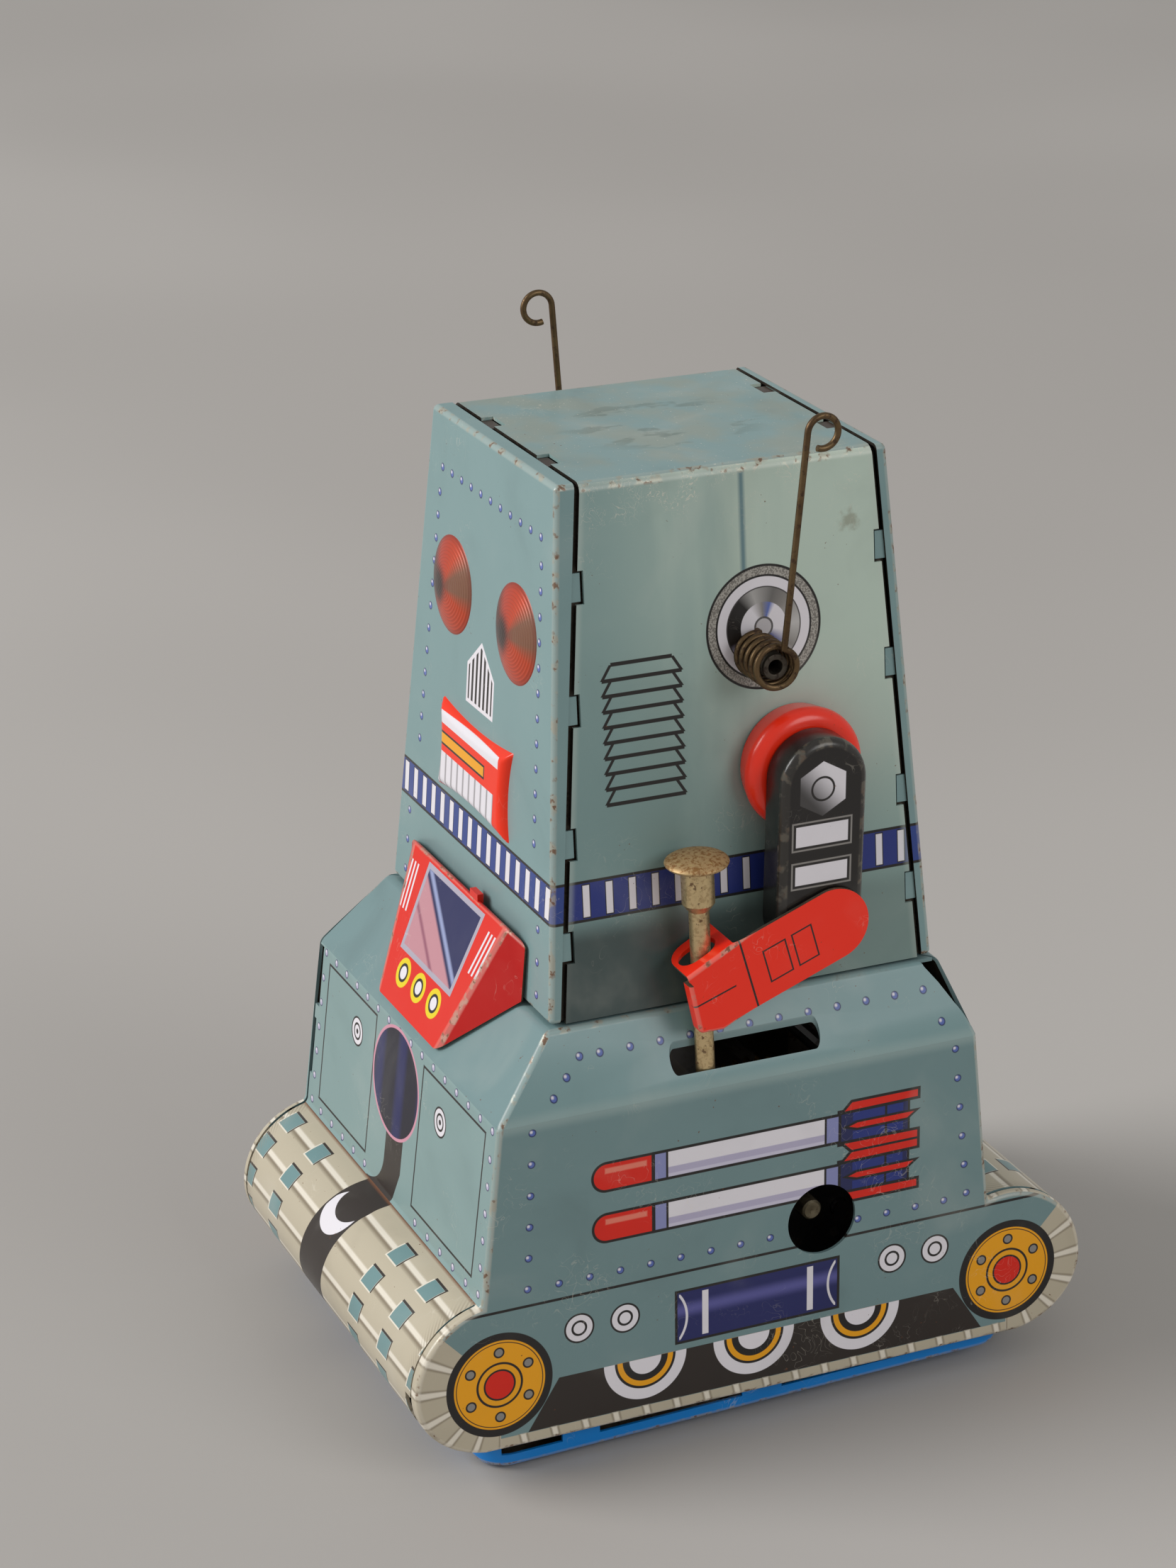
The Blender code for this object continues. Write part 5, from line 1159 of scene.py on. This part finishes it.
base = {"wall": 0.4, "bend": 0.8, "gap": 0.6, "halfLength": 36.3, "frontZ": 0.4, "rearZ": 1.9, "flange": 5.5,
        "corner": 4.0, "notches": ((-34, -26), (-21, -1.5), (4, 22.5)), "notchFloor": 1.8,
        "wheelX": 23.2, "wheelY": (-21, 20), "wheelHole": (2.6, 7.1, 6.5)}


def addBasePan():
    # a tray with round corners, tilted to the rear; notches in its flange, holes over the wheels
    halfWidth = sideX(hull["trackZ"] - hull["drop"]) - hull["rim"] - base["gap"]
    tilt = math.atan2(base["rearZ"] - base["frontZ"], 2 * base["halfLength"])
    place = Matrix.Translation((0, 0, (base["frontZ"] + base["rearZ"]) / 2)) @ Matrix.Rotation(tilt, 4, "X")
    corner = base["corner"]
    x, y = halfWidth - corner, base["halfLength"] - corner
    centres = ((x, y), (-x, y), (-x, -y), (x, -y))
    outline = np.concatenate([arc(centre, (corner, corner), 90 * i, 90 * i + 90, 10)
                              for i, centre in enumerate(centres)])
    count = len(outline)
    flat = np.column_stack([outline, np.zeros(count)])
    points = moved(np.concatenate([flat, flat + (0, 0, base["flange"])]), place)
    faces = [np.arange(count)[::-1], *gridFaces(2, count, loopCols=True)]
    tools = [slab((-beyond, start, base["notchFloor"]), (beyond, end, 2 * base["flange"]), place)
             for start, end in base["notches"]]
    hole = np.array(base["wheelHole"])
    for side in (1, -1):
        for y in base["wheelY"]:
            centre = np.array([side * base["wheelX"], y, 0])
            tools.append(slab(centre - hole, centre + hole))
    cuts = [("DIFFERENCE", tool) for tool in tools]
    skins = [finishes["base"], finishes["tin"]]
    mesh = foldedSheet("base_pan", points, faces, [0] * len(faces), skins, base, (0, 0, -1), cuts)
    addPiece("base_tray", mesh, "shell", "blue_tin", "base_pan")


addBasePan()


# Head

headBase = (headHalfWidth, head["baseHalfLength"], head["baseZ"])
headTop = (head["topHalfWidth"], head["topHalfLength"], head["topZ"])


def tabSlabs(sign, notch):
    # the end trays' tabs lap into the wrap at the top and along both leaning sides
    fit, wall = hull["fit"], head["wall"]
    grow, sunk = (fit, 0.0) if notch else (0.0, head["tabSunk"])
    half = head["tabWidth"] / 2 + grow
    lean = math.atan2(headHalfWidth - head["topHalfWidth"], head["topZ"] - head["baseZ"])

    def span(z, reach):
        root = headY(z) + (2 * fit if notch else fit + head["trayDepth"] / 2)
        return sorted((sign * root, sign * (headY(z) - reach - grow)))

    made = []
    front, rear = span(head["topZ"], head["tabLength"])
    for x in (-head["topTabX"], head["topTabX"]):
        low, high = head["topZ"] - wall - grow - sunk, head["topZ"] + grow - sunk
        made.append(slab((x - half, front, low), (x + half, rear, high)))
    for side in (1, -1):
        inner, outer = sorted((-side * (wall + grow + sunk), side * (grow - sunk)))
        for z in head["tabHeights"]:
            front, rear = span(z, head["sideTabLength"])
            place = Matrix.Translation((side * headX(z), 0, z)) @ Matrix.Rotation(-side * lean, 4, "Y")
            made.append(slab((inner, front, -half), (outer, rear, half), place))
    return made


def addHeadWrap():
    # both sides and the top in one sheet, with notches for the tabs and holes for pins and studs
    mirror = [(-1, 1, 1), (-1, 1, 1), (1, 1, 1), (1, 1, 1)]
    outline = np.array([headBase, headTop, headTop, headBase]) * mirror
    outline[:, 1] -= head["seam"]
    points = np.concatenate([outline * (1, -1, 1), outline])
    faces = [(1, 2, 6, 5), (0, 1, 5, 4), (2, 3, 7, 6)]
    tools = tabSlabs(-1, True) + tabSlabs(1, True)
    for side in (1, -1):
        low, high = sorted((0, side * beyond))
        for part in ("shoulder", "stud"):
            tools.append(prism(circle(head[part], head[part + "Hole"], 24), low, high, "X"))
    skins = [finishes["headSide"], finishes["headTop"], finishes["stud"]]
    cuts = [("DIFFERENCE", tool) for tool in tools]
    mesh = foldedSheet("head_wrap", points, faces, [1, 0, 0], skins, head, (0, 0, 1), cuts)
    addPiece("head_box", mesh, "shell", "printed_tin", "head_wrap")


def addTray(name, sign, skin, node):
    # a tapered panel with its four edges turned back towards the wrap
    mirror = [(-1, sign, 1), (1, sign, 1), (1, sign, 1), (-1, sign, 1)]
    back = np.array([headBase, headBase, headTop, headTop]) * mirror
    back[:, 1] += sign * hull["fit"]
    depth = np.full(4, head["trayDepth"])
    depth[2:] += head["faceLean"] if sign < 0 else 0
    points = np.concatenate([back + depth[:, None] * (0, sign, 0), back])
    faces = [np.arange(4), *gridFaces(2, 4, loopCols=True)]
    form = {"wall": head["wall"], "bend": head["trayBend"]}
    cuts = [("UNION", tool) for tool in tabSlabs(sign, False)]
    mesh = foldedSheet(name, points, faces, [0] * 5, [skin, finishes["stud"]], form, (0, sign, 0), cuts)
    addPiece(name, mesh, "shell", "printed_tin", node)


def addSeamLip(name, sign):
    # a strip tucked under the wrap behind an end tray's seam: the wrap's outline, stepped in
    step = head["lipStep"]
    lowX, lowZ = headHalfWidth - step, head["baseZ"] + head["lipRise"]
    highX, highZ = head["topHalfWidth"] - step, head["topZ"] - step
    x, z = np.array([(-lowX, lowZ), (-highX, highZ), (highX, highZ), (lowX, lowZ)]).T
    rows = [np.column_stack([x, sign * (headY(z) + shift), z]) for shift in (hull["fit"], -head["lipLength"])]
    faces = [(i, i + 1, i + 5, i + 4) for i in range(3)]
    form = {"wall": head["lipWall"], "bend": head["lipBend"]}
    mesh = foldedSheet(name, np.concatenate(rows), faces, [0] * 3, [finishes["stud"]] * 2, form, (-1, 0, 0))
    addPiece(name, mesh, "shell", "black_tin")


def addEyes():
    # spherical caps on the leaning face
    tilt = math.atan2(faceY(head["topZ"]) - faceY(head["baseZ"]), head["topZ"] - head["baseZ"])
    normal = (0, -math.cos(tilt), math.sin(tilt))
    radius, rise = head["eyeRadius"], head["eyeRise"]
    ball = (radius ** 2 + rise ** 2) / (2 * rise)
    angle = np.linspace(math.asin(radius / ball), 0.02, 20)
    cap = np.column_stack([ball * np.sin(angle), ball * np.cos(angle) - ball + rise])
    cap = np.concatenate([[(radius, -0.3)], cap])
    for label, side in sides.items():
        centre = (side * head["eyeX"], faceY(head["eyeZ"]), head["eyeZ"])
        mesh = turnedMesh("eye", cap, [finishes["eye"]], normal, centre, 72)
        addPiece("eye_" + label, mesh, "shell", "red_tin", crease=60)


def addMouth():
    # pillow: height above the face falls off near the outline, whose corners flare
    wide, high = 61, 41
    u, v = np.meshgrid(np.linspace(-1, 1, wide), np.linspace(-1, 1, high), indexing="ij")
    halfWidth, halfHeight = head["mouthHalfWidth"], (head["mouthHigh"] - head["mouthLow"]) / 2
    pullX, pullZ = head["mouthPull"]
    x = u * (halfWidth - pullX * (1 - v ** 2) * np.abs(u))
    z = (head["mouthHigh"] + head["mouthLow"]) / 2 + v * (halfHeight - pullZ * (1 - u ** 2) * np.abs(v))
    fromEdge = np.minimum((1 - np.abs(u)) * halfWidth, (1 - np.abs(v)) * halfHeight)
    rise = head["mouthRise"] * np.sin(np.clip(fromEdge / head["mouthEdge"], 0, 1) * np.pi / 2) ** 0.8
    points = np.stack([x, faceY(z) + head["mouthSunk"] - rise, z], -1).reshape(-1, 3)
    at = np.arange(wide * high).reshape(wide, high)
    border = np.concatenate([at[:, 0], at[-1, 1:], at[-2::-1, -1], at[0, -2:0:-1]])
    mesh = newMesh("mouth", points, [*gridFaces(wide, high), border], [finishes["mouth"]])
    addPiece("mouth", outward(mesh, (0, -1, 0)), "shell", "red_tin", crease=60)


addHeadWrap()
addTray("face_plate", -1, finishes["face"], "face_tray")
addTray("rear_plate", 1, finishes["headRear"], "rear_tray")
addSeamLip("front_lip", -1)
addSeamLip("rear_lip", 1)
addEyes()
addMouth()
print("head ready")


# Console

console = {"wall": 0.4, "bend": 0.7, "angle": 15, "topHalfWidth": 15.0, "topY": -26.7, "topZ": 65.7,
           "footHalfWidth": 9.7, "footY": -34.1, "rearHalfWidth": 18.3, "rearTopZ": 64.5,
           "tab": ((3.6, -0.1, -0.7), (6.0, 0.7, 0.5))}


def deckZ(y):
    # height of the deck's front slope
    rise = (hull["deckZ"] - hull["bendZ"]) / (-hull["deckHalfLength"] - hull["frontBendY"])
    return hull["bendZ"] + (y - hull["frontBendY"]) * rise


def addConsole():
    # front, top and both sides of a wedge that stands on the slope before the face, one tab on its top edge
    fit = hull["fit"]
    heights = (head["baseZ"], console["rearTopZ"])
    rearLowY, rearTopY = (-headY(z) - head["trayDepth"] - 3 * fit for z in heights)
    half = np.array([(console["footHalfWidth"], console["footY"], deckZ(console["footY"]) + 3 * fit),
                     (console["topHalfWidth"], console["topY"], console["topZ"]),
                     (console["rearHalfWidth"], rearTopY, console["rearTopZ"]),
                     (console["rearHalfWidth"], rearLowY, deckZ(rearLowY) + 2 * fit)])
    points = np.concatenate([half, half * (-1, 1, 1)])
    faces = [(4, 0, 1, 5), (5, 1, 2, 6), (0, 3, 2, 1), (4, 5, 6, 7)]
    # the top and sides take the darker red, painted shade
    skins = [finishes["console"], finishes["consoleRed"], finishes["tin"]]
    tab = slab(*(np.array(console["tab"]) + (0, console["topY"], console["topZ"])))
    mesh = foldedSheet("console", points, faces, [0, 1, 1, 1], skins, console, (0, -1, 0), [("UNION", tab)])
    addPiece("console", mesh, "shell", "red_tin", "console_box")


addConsole()


# Arms and levers

arm = {"halfWidth": 5.7, "depth": 4.3, "wall": 0.5, "bend": 1.1, "elbow": (7.2, 67.2), "bossDepth": 4.0,
       "bossRadius": 7.7, "bossFoot": 7.2, "bossRound": 1.7, "bore": 1.8}
forearm = {"wall": 0.5, "bend": 0.5, "angle": 40, "end": (8.5, 66.4), "radius": 4.65,
           "slope": handMarks["tilt"], "handFront": 19.2, "handRear": 12.4, "handDrop": 3.6, "chin": 1.1,
           "reachIn": 6.6, "corner": 2.6, "flange": 1.9,
           "holeWidth": 3.3, "holeLength": 4.2, "holeAhead": 0.35}
lever = {"pivot": (-4.5, 9.0), "lean": 3.1, "length": 68.2, "radius": 1.25, "blade": 1.3, "bladeStart": 0.62,
         "bladeLength": 46.5, "bladeBlend": 0.4, "headRadius": 3.9, "headThick": 1.7, "headRound": 0.95,
         "headFoot": 0.62, "collarLength": 5.5, "collar": ((1.55, 0.35), (2.0, 1.0), (2.0, 5.45)),
         "eyeRadius": 2.4, "eyeBore": 1.35, "eyeProud": 0.3, "eyeEdge": 0.15}
bossOut = headX(head["shoulder"][1]) + arm["bossDepth"]
armFront = bossOut + hull["fit"] + arm["depth"]
forearmFront = armFront + hull["fit"] + forearm["wall"]


def addUpperArm(label, side):
    # rings of a capsule carried over a pan's section: flat front, rounded edge, wall, and back inside
    radius, bend, wall = arm["halfWidth"], arm["bend"], arm["wall"]
    turn = np.radians(np.linspace(90, 0, 9))

    def rounded(size):
        return np.column_stack([radius - bend + size * np.cos(turn), armFront - bend + size * np.sin(turn)])

    back = armFront - arm["depth"]
    lip = [(radius, back), (radius - wall, back)]
    section = np.concatenate([rounded(bend), lip, rounded(bend - wall)[::-1]])
    rings = [capsule(head["shoulder"], arm["elbow"], size, 24) for size in section[:, 0]]
    count = len(rings[0])
    points = np.concatenate([np.column_stack([np.full(count, side * x), ring])
                             for ring, x in zip(rings, section[:, 1])])
    mesh = ringMesh("upper_arm", points, count, [finishes["arm"]])
    bends = np.zeros(len(mesh.vertices), np.float32)
    bends[count:(len(turn) - 1) * count] = 1
    mesh.attributes.new("bend", "FLOAT", "POINT").data.foreach_set("value", bends)
    addPiece("arm_shell_" + label, mesh, "arm_" + label, "black_tin", "upper_arm_" + label)


def addForearm(label, side):
    # outline of the band: round elbow, straight run, deeper hand; the hand's top and foot are turned in
    slope = math.radians(forearm["slope"])
    end, radius = np.array(forearm["end"]), forearm["radius"]
    forward, upward = np.array([(-math.cos(slope), -math.sin(slope)), (-math.sin(slope), math.cos(slope))])

    def along(distance, height):
        return end + forward * distance + upward * height

    elbow = arc(end, (radius, radius), forearm["slope"] - 90, forearm["slope"] + 90, 24)
    front, rear, drop, chin = (forearm[key] for key in ("handFront", "handRear", "handDrop", "chin"))
    tip, foot = along(front, radius - drop / 4), along(front + chin, chin / 2 - radius)
    hand = [along(rear, radius), tip, tip + (foot - tip) * 0.18, foot,
            along(front - drop / 2, -radius - chin / 2), along(rear, -radius)]
    outline = np.concatenate([elbow, hand])
    count = len(outline)
    plate = np.column_stack([np.full(count, side * forearmFront), outline])
    topIn = plate[[-6, -5]] - (side * forearm["reachIn"], 0, 0)
    lowIn = plate[-4:] - (side * forearm["flange"], 0, 0)
    # the top's inner front corner is rounded: a quarter circle between its front edge and its inner edge
    back = (topIn[0] - topIn[1]) / np.linalg.norm(topIn[0] - topIn[1])
    turn = np.radians(np.linspace(0, 90, 7))[:, None]
    quarter = topIn[1] + forearm["corner"] * ((1 - np.sin(turn)) * (side, 0, 0) + (1 - np.cos(turn)) * back)
    points = np.concatenate([plate, quarter, topIn[:1], lowIn])
    inner = count + len(quarter) + 1
    faces = [np.arange(count), (count - 6, count - 5, *range(count, inner))]
    faces += [(count - 4 + i, count - 3 + i, inner + i + 1, inner + i) for i in range(3)]
    # the hole follows the leaning lever at the height of the hand's top
    height = end[1] - (front + rear) / 2 * math.sin(slope) + radius * math.cos(slope)
    leverY, leverZ = lever["pivot"]
    handY = leverY - (height - leverZ) * math.tan(math.radians(lever["lean"])) - hull["fit"]
    reach = (forearm["holeLength"] - forearm["holeWidth"]) / 2
    ends = [(side * leverX, y) for y in (handY - reach - forearm["holeAhead"], handY + reach)]
    hole = capsule(*ends, forearm["holeWidth"] / 2)
    cuts = [("DIFFERENCE", prism(hole, height - radius, height + radius, "Z"))]
    skins = [finishes["forearm"], finishes["tin"]]
    mesh = foldedSheet("forearm", points, faces, [0] * 5, skins, forearm, (side, 0, 0), cuts)
    addPiece("forearm_shell_" + label, mesh, "arm_" + label, "red_tin", "forearm_" + label)


def addBoss(label, side):
    # a turned cushion whose foot is cut by the leaning side of the head
    rounding, bore = arm["bossRound"], arm["bore"]
    crown = arc((arm["bossRadius"] - rounding, bossOut - rounding), (rounding, rounding), 90, 0, 10)
    foot = head["topHalfWidth"] - 1  # inside the head, so that the side cuts it all round
    profile = np.concatenate([[(bore, bossOut)], crown, [(arm["bossFoot"], foot), (bore, foot)]])
    centre = (0, *head["shoulder"])
    mesh = turnedMesh("boss", profile, [finishes["bossRed"]], (1, 0, 0), centre, 72, closed=True)
    points = np.zeros(len(mesh.vertices) * 3)
    mesh.vertices.foreach_get("co", points)
    points = points.reshape(-1, 3) / mm
    points[:, 0] = side * np.maximum(points[:, 0], headX(points[:, 2]) + hull["fit"])
    mesh.vertices.foreach_set("co", (points * mm).ravel())
    addPiece("boss_" + label, outward(mesh), "shell", "red_tin", "shoulder_boss_" + label)


def addLever(label, side):
    # ellipses carried up the leaning rod: flat blade in the hull, round rod, collar, mushroom head
    length, radius, flat = lever["length"], lever["radius"], lever["blade"] / 2
    neck, rounding, bladeEnd = length - lever["headThick"], lever["headRound"], lever["bladeLength"]
    turn = np.radians(np.linspace(-50, 90, 12))
    dome = np.column_stack([lever["headRadius"] * np.cos(turn), length - rounding + rounding * np.sin(turn)])
    dome[0], dome[-1, 0] = (lever["headRadius"] * lever["headFoot"], neck), 0.08
    collar = np.array([(radius, 0), *lever["collar"]]) + (0, neck - lever["collarLength"])
    rows = [(lever["bladeStart"], flat, radius), (bladeEnd, flat, radius),
            (bladeEnd + lever["bladeBlend"], radius, radius)]
    rows = np.array(rows + [(height, size, size) for size, height in (*collar, *dome)])
    count = 40
    around = np.linspace(0, 2 * np.pi, count, endpoint=False)
    lean, (pivotY, pivotZ) = math.radians(lever["lean"]), lever["pivot"]
    height, across, along = rows[:, :1], rows[:, 1:2] * np.cos(around), rows[:, 2:] * np.sin(around)
    y = pivotY + along * math.cos(lean) - height * math.sin(lean)
    z = pivotZ + along * math.sin(lean) + height * math.cos(lean)
    points = np.stack([side * leverX + across, y, z], -1).reshape(-1, 3)
    mesh = ringMesh("lever", points, count, [finishes["brass"]])
    addPiece("lever_rod_" + label, mesh, "lever_rocker", "dull_brass", "lever_" + label)
    half, bore, rim = flat + lever["eyeProud"], lever["eyeBore"], lever["eyeRadius"]
    eye, centre = [(bore, half), (rim, half), (rim, -half), (bore, -half)], (side * leverX, pivotY, pivotZ)
    ring = turnedMesh("lever_eye", eye, [finishes["brass"]], (1, 0, 0), centre, count, closed=True)
    addPiece("lever_eye_" + label, ring, "lever_rocker", "dull_brass", edge=lever["eyeEdge"])


for label, side in sides.items():
    addUpperArm(label, side)
    addForearm(label, side)
    addBoss(label, side)
    addLever(label, side)
print("arms and levers ready")


# Antennas

antenna = {"wire": 0.4, "coilRadius": 2.45, "turns": 5, "pitch": 1.28, "tail": 0.7, "loopRadius": 1.95,
           "loopTurn": 285.0, "mast": {"left": 26.0, "right": 28.0}, "lean": {"left": 5.4, "right": 4.8},
           "end": {"left": 74.0, "right": 62.0},
           "studRadius": 1.6, "studBore": 0.9, "headRadius": 2.6, "headThick": 0.7, "studEdge": 0.12}


def addAntenna(label, side):
    # one wire: short tail, helix about X, mast, end loop
    wire, radius, turns = antenna["wire"], antenna["coilRadius"], antenna["turns"]
    lean, end = math.radians(antenna["lean"][label]), math.radians(antenna["end"][label])
    share = np.linspace(0, 1, turns * 40 + 1)
    angle = end - turns * 2 * math.pi * (1 - share)
    rise = 2 * wire + antenna["pitch"] * turns * share
    coil = np.column_stack([rise, radius * np.cos(angle), radius * np.sin(angle)])
    tail = coil[0] * (0, 1, 1) + np.linspace(0, antenna["tail"], 3)[:, None] * (1, 0, 0)
    lift, back = np.array([(0, math.sin(lean), math.cos(lean)), (0, math.cos(lean), -math.sin(lean))])
    mast = coil[-1] + np.linspace(0.03, 1, 14)[:, None] * lift * antenna["mast"][label]
    turn = np.radians(np.linspace(0, antenna["loopTurn"], 40))[1:, None]
    loop = mast[-1] + antenna["loopRadius"] * (back * (1 - np.cos(turn)) + lift * np.sin(turn))
    root = headX(head["stud"][1] - radius - wire) + hull["fit"]
    path = np.concatenate([tail, coil, mast, loop]) * (side, side, 1) + (side * root, *head["stud"])
    mesh = tubeMesh("antenna", path, wire, [finishes["wire"]])
    addPiece("antenna_wire_" + label, mesh, "antenna_" + label, "spring_wire", "antenna_" + label, crease=50)
    rod, bore, rim = antenna["studRadius"], antenna["studBore"], antenna["headRadius"]
    tip, wall = root + turns * antenna["pitch"], headX(head["stud"][1] + rim) - head["wall"] - hull["fit"]
    inner = wall - antenna["headThick"]
    profile = [(bore, tip), (rod, tip), (rod, wall), (rim, wall), (rim, inner), (bore, inner)]
    stud = turnedMesh("stud", profile, [finishes["stud"]], (side, 0, 0), (0, *head["stud"]), 40, closed=True)
    addPiece("stud_" + label, stud, "shell", "spring_wire", "antenna_stud_" + label, edge=antenna["studEdge"])


for label, side in sides.items():
    addAntenna(label, side)
print("antennas ready")


# Wheels, and the clockwork that stays as the CAD made it

wheel = {"radius": 6.5, "width": 4.0, "hub": 2.4, "rim": 5.3, "dish": 0.8, "edge": 0.5, "bore": 1.25,
         "axleZ": 6.5, "axles": {"rear": (20.0, "drive_shaft"), "front": (-21.0, "front_wheels")}}


def addWheel(end, label, side):
    # a turned tin wheel: hub, dished web, rim with rounded edges
    y, body = wheel["axles"][end]
    edge, web, bore = wheel["edge"], wheel["dish"], wheel["bore"]
    out, near = base["wheelX"] + wheel["width"] / 2, base["wheelX"] - wheel["width"] / 2
    hub, rim = wheel["hub"], wheel["rim"]
    face = [(bore, out), (hub, out), (hub, out - web), (rim, out - web), (rim, out)]
    outer = arc((wheel["radius"] - edge, out - edge), (edge, edge), 90, 0, 6)
    inner = arc((wheel["radius"] - edge, near + edge), (edge, edge), 0, -90, 6)
    profile, centre = np.concatenate([face, outer, inner, [(bore, near)]]), (0, y, wheel["axleZ"])
    mesh = turnedMesh("wheel", profile, [finishes["wheel"]], (side, 0, 0), centre, 64, closed=True)
    addPiece(f"road_wheel_{end}_{label}", mesh, body, "wheel_tin", f"{end}_wheel_{label}")


arbor = {"radius": 1.5, "tip": 1.3, "tipLength": 8.5, "inset": 2.5, "edge": 0.25, "dimple": 0.15,
         "middle": 0.1}


def addArbor():
    # a turned rod whose worn tip shows round in the keyhole
    radius, tip, edge, middle = arbor["radius"], arbor["tip"], arbor["edge"], arbor["middle"]
    end = sideX(hull["keyhole"][1]) - arbor["inset"]
    shoulder, rear = end - arbor["tipLength"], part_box("winding_arbor")[0][0] / mm
    profile = [(middle, end - arbor["dimple"]), (tip * 0.4, end), (tip - edge, end), (tip, end - edge),
               (tip, shoulder), (radius, shoulder), (radius, rear), (middle, rear)]
    mesh = turnedMesh("arbor", profile, [finishes["arbor"]], (1, 0, 0), (0, *hull["keyhole"]), 40)
    addPiece("winding_rod", mesh, "winding_shaft", "motor_steel", "winding_arbor")


works = {
    "steel": ("motor_plate_left", "motor_plate_right", "pillar_upper_front", "pillar_upper_rear",
              "pillar_lower_rear", "pillar_lower_front", "ratchet_wheel", "ratchet_click", "mainspring",
              "second_arbor", "crank_disc", "drive_axle", "front_axle", "rocker_shaft", "rocker_arm",
              "shoulder_pin_left", "shoulder_pin_right"),
    "gear": ("great_wheel", "second_pinion", "second_wheel", "drive_pinion"),
}
for end in wheel["axles"]:
    for label, side in sides.items():
        addWheel(end, label, side)
for key, names in works.items():
    for name in names:
        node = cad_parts[name]
        node.data.materials.clear()
        node.data.materials.append(finishes[key])
addArbor()
print("wheels and clockwork ready")


# Stage, light and camera

studio = {"floor": 3000, "paper": (tint(186, 182, 178), tint(176, 172, 168)), "target": (0, 0, 0.05),
          "lights": {"key": ((-0.7, -1.9, 1.24), 1.4, 45.0), "fill": ((2.2, 1.0, 1.4), 1.6, 17.5)},
          "sky": (1.0, 0.99, 0.97, 1.0), "skyStrength": 0.39}
camera = {"place": (0.40149, -0.18795, 0.25081), "right": (0.4064, 0.9137, 0.0),
          "up": (-0.3382, 0.1504, 0.9290), "back": (0.8488, -0.3775, 0.3701), "lens": 87.65,
          "sensor": 36.0, "clip": (0.01, 20.0)}


def addFloor():
    # plain paper with faint clouds
    art = Art("floor_paper", studio["paper"][0], rough=0.9, coat=0.0)
    art.lay(art.step(art.noise(420, 2.0), 0.35, 0.65), studio["paper"][1])
    size = studio["floor"]
    points = [(-size, -size, 0), (size, -size, 0), (size, size, 0), (-size, size, 0)]
    floor = addObject("floor", newMesh("floor", points, [(0, 1, 2, 3)], [art.finish()]))


def addLamp(name, place, size, power):
    lamp = bpy.data.lights.new(name, "AREA")
    lamp.shape, lamp.size, lamp.energy = "DISK", size, power
    made = addObject(name, lamp)
    made.location = place
    made.rotation_euler = (Vector(studio["target"]) - Vector(place)).to_track_quat("-Z", "Y").to_euler()


def addCamera():
    lens = bpy.data.cameras.new("camera")
    lens.lens, lens.sensor_width = camera["lens"], camera["sensor"]
    lens.clip_start, lens.clip_end = camera["clip"]
    viewer = addObject("camera", lens)
    turn = Matrix([camera["right"], camera["up"], camera["back"]]).transposed().to_quaternion()
    viewer.matrix_world = Matrix.LocRotScale(Vector(camera["place"]), turn, None)
    scene.camera = viewer


addFloor()
for name, (place, size, power) in studio["lights"].items():
    addLamp(name, place, size, power)
addCamera()
scene.world = bpy.data.worlds.new("studio")
scene.world.use_nodes = True
sky = scene.world.node_tree.nodes["Background"].inputs
sky["Color"].default_value, sky["Strength"].default_value = studio["sky"], studio["skyStrength"]
scene.view_settings.view_transform = "Standard"
print("stage ready")
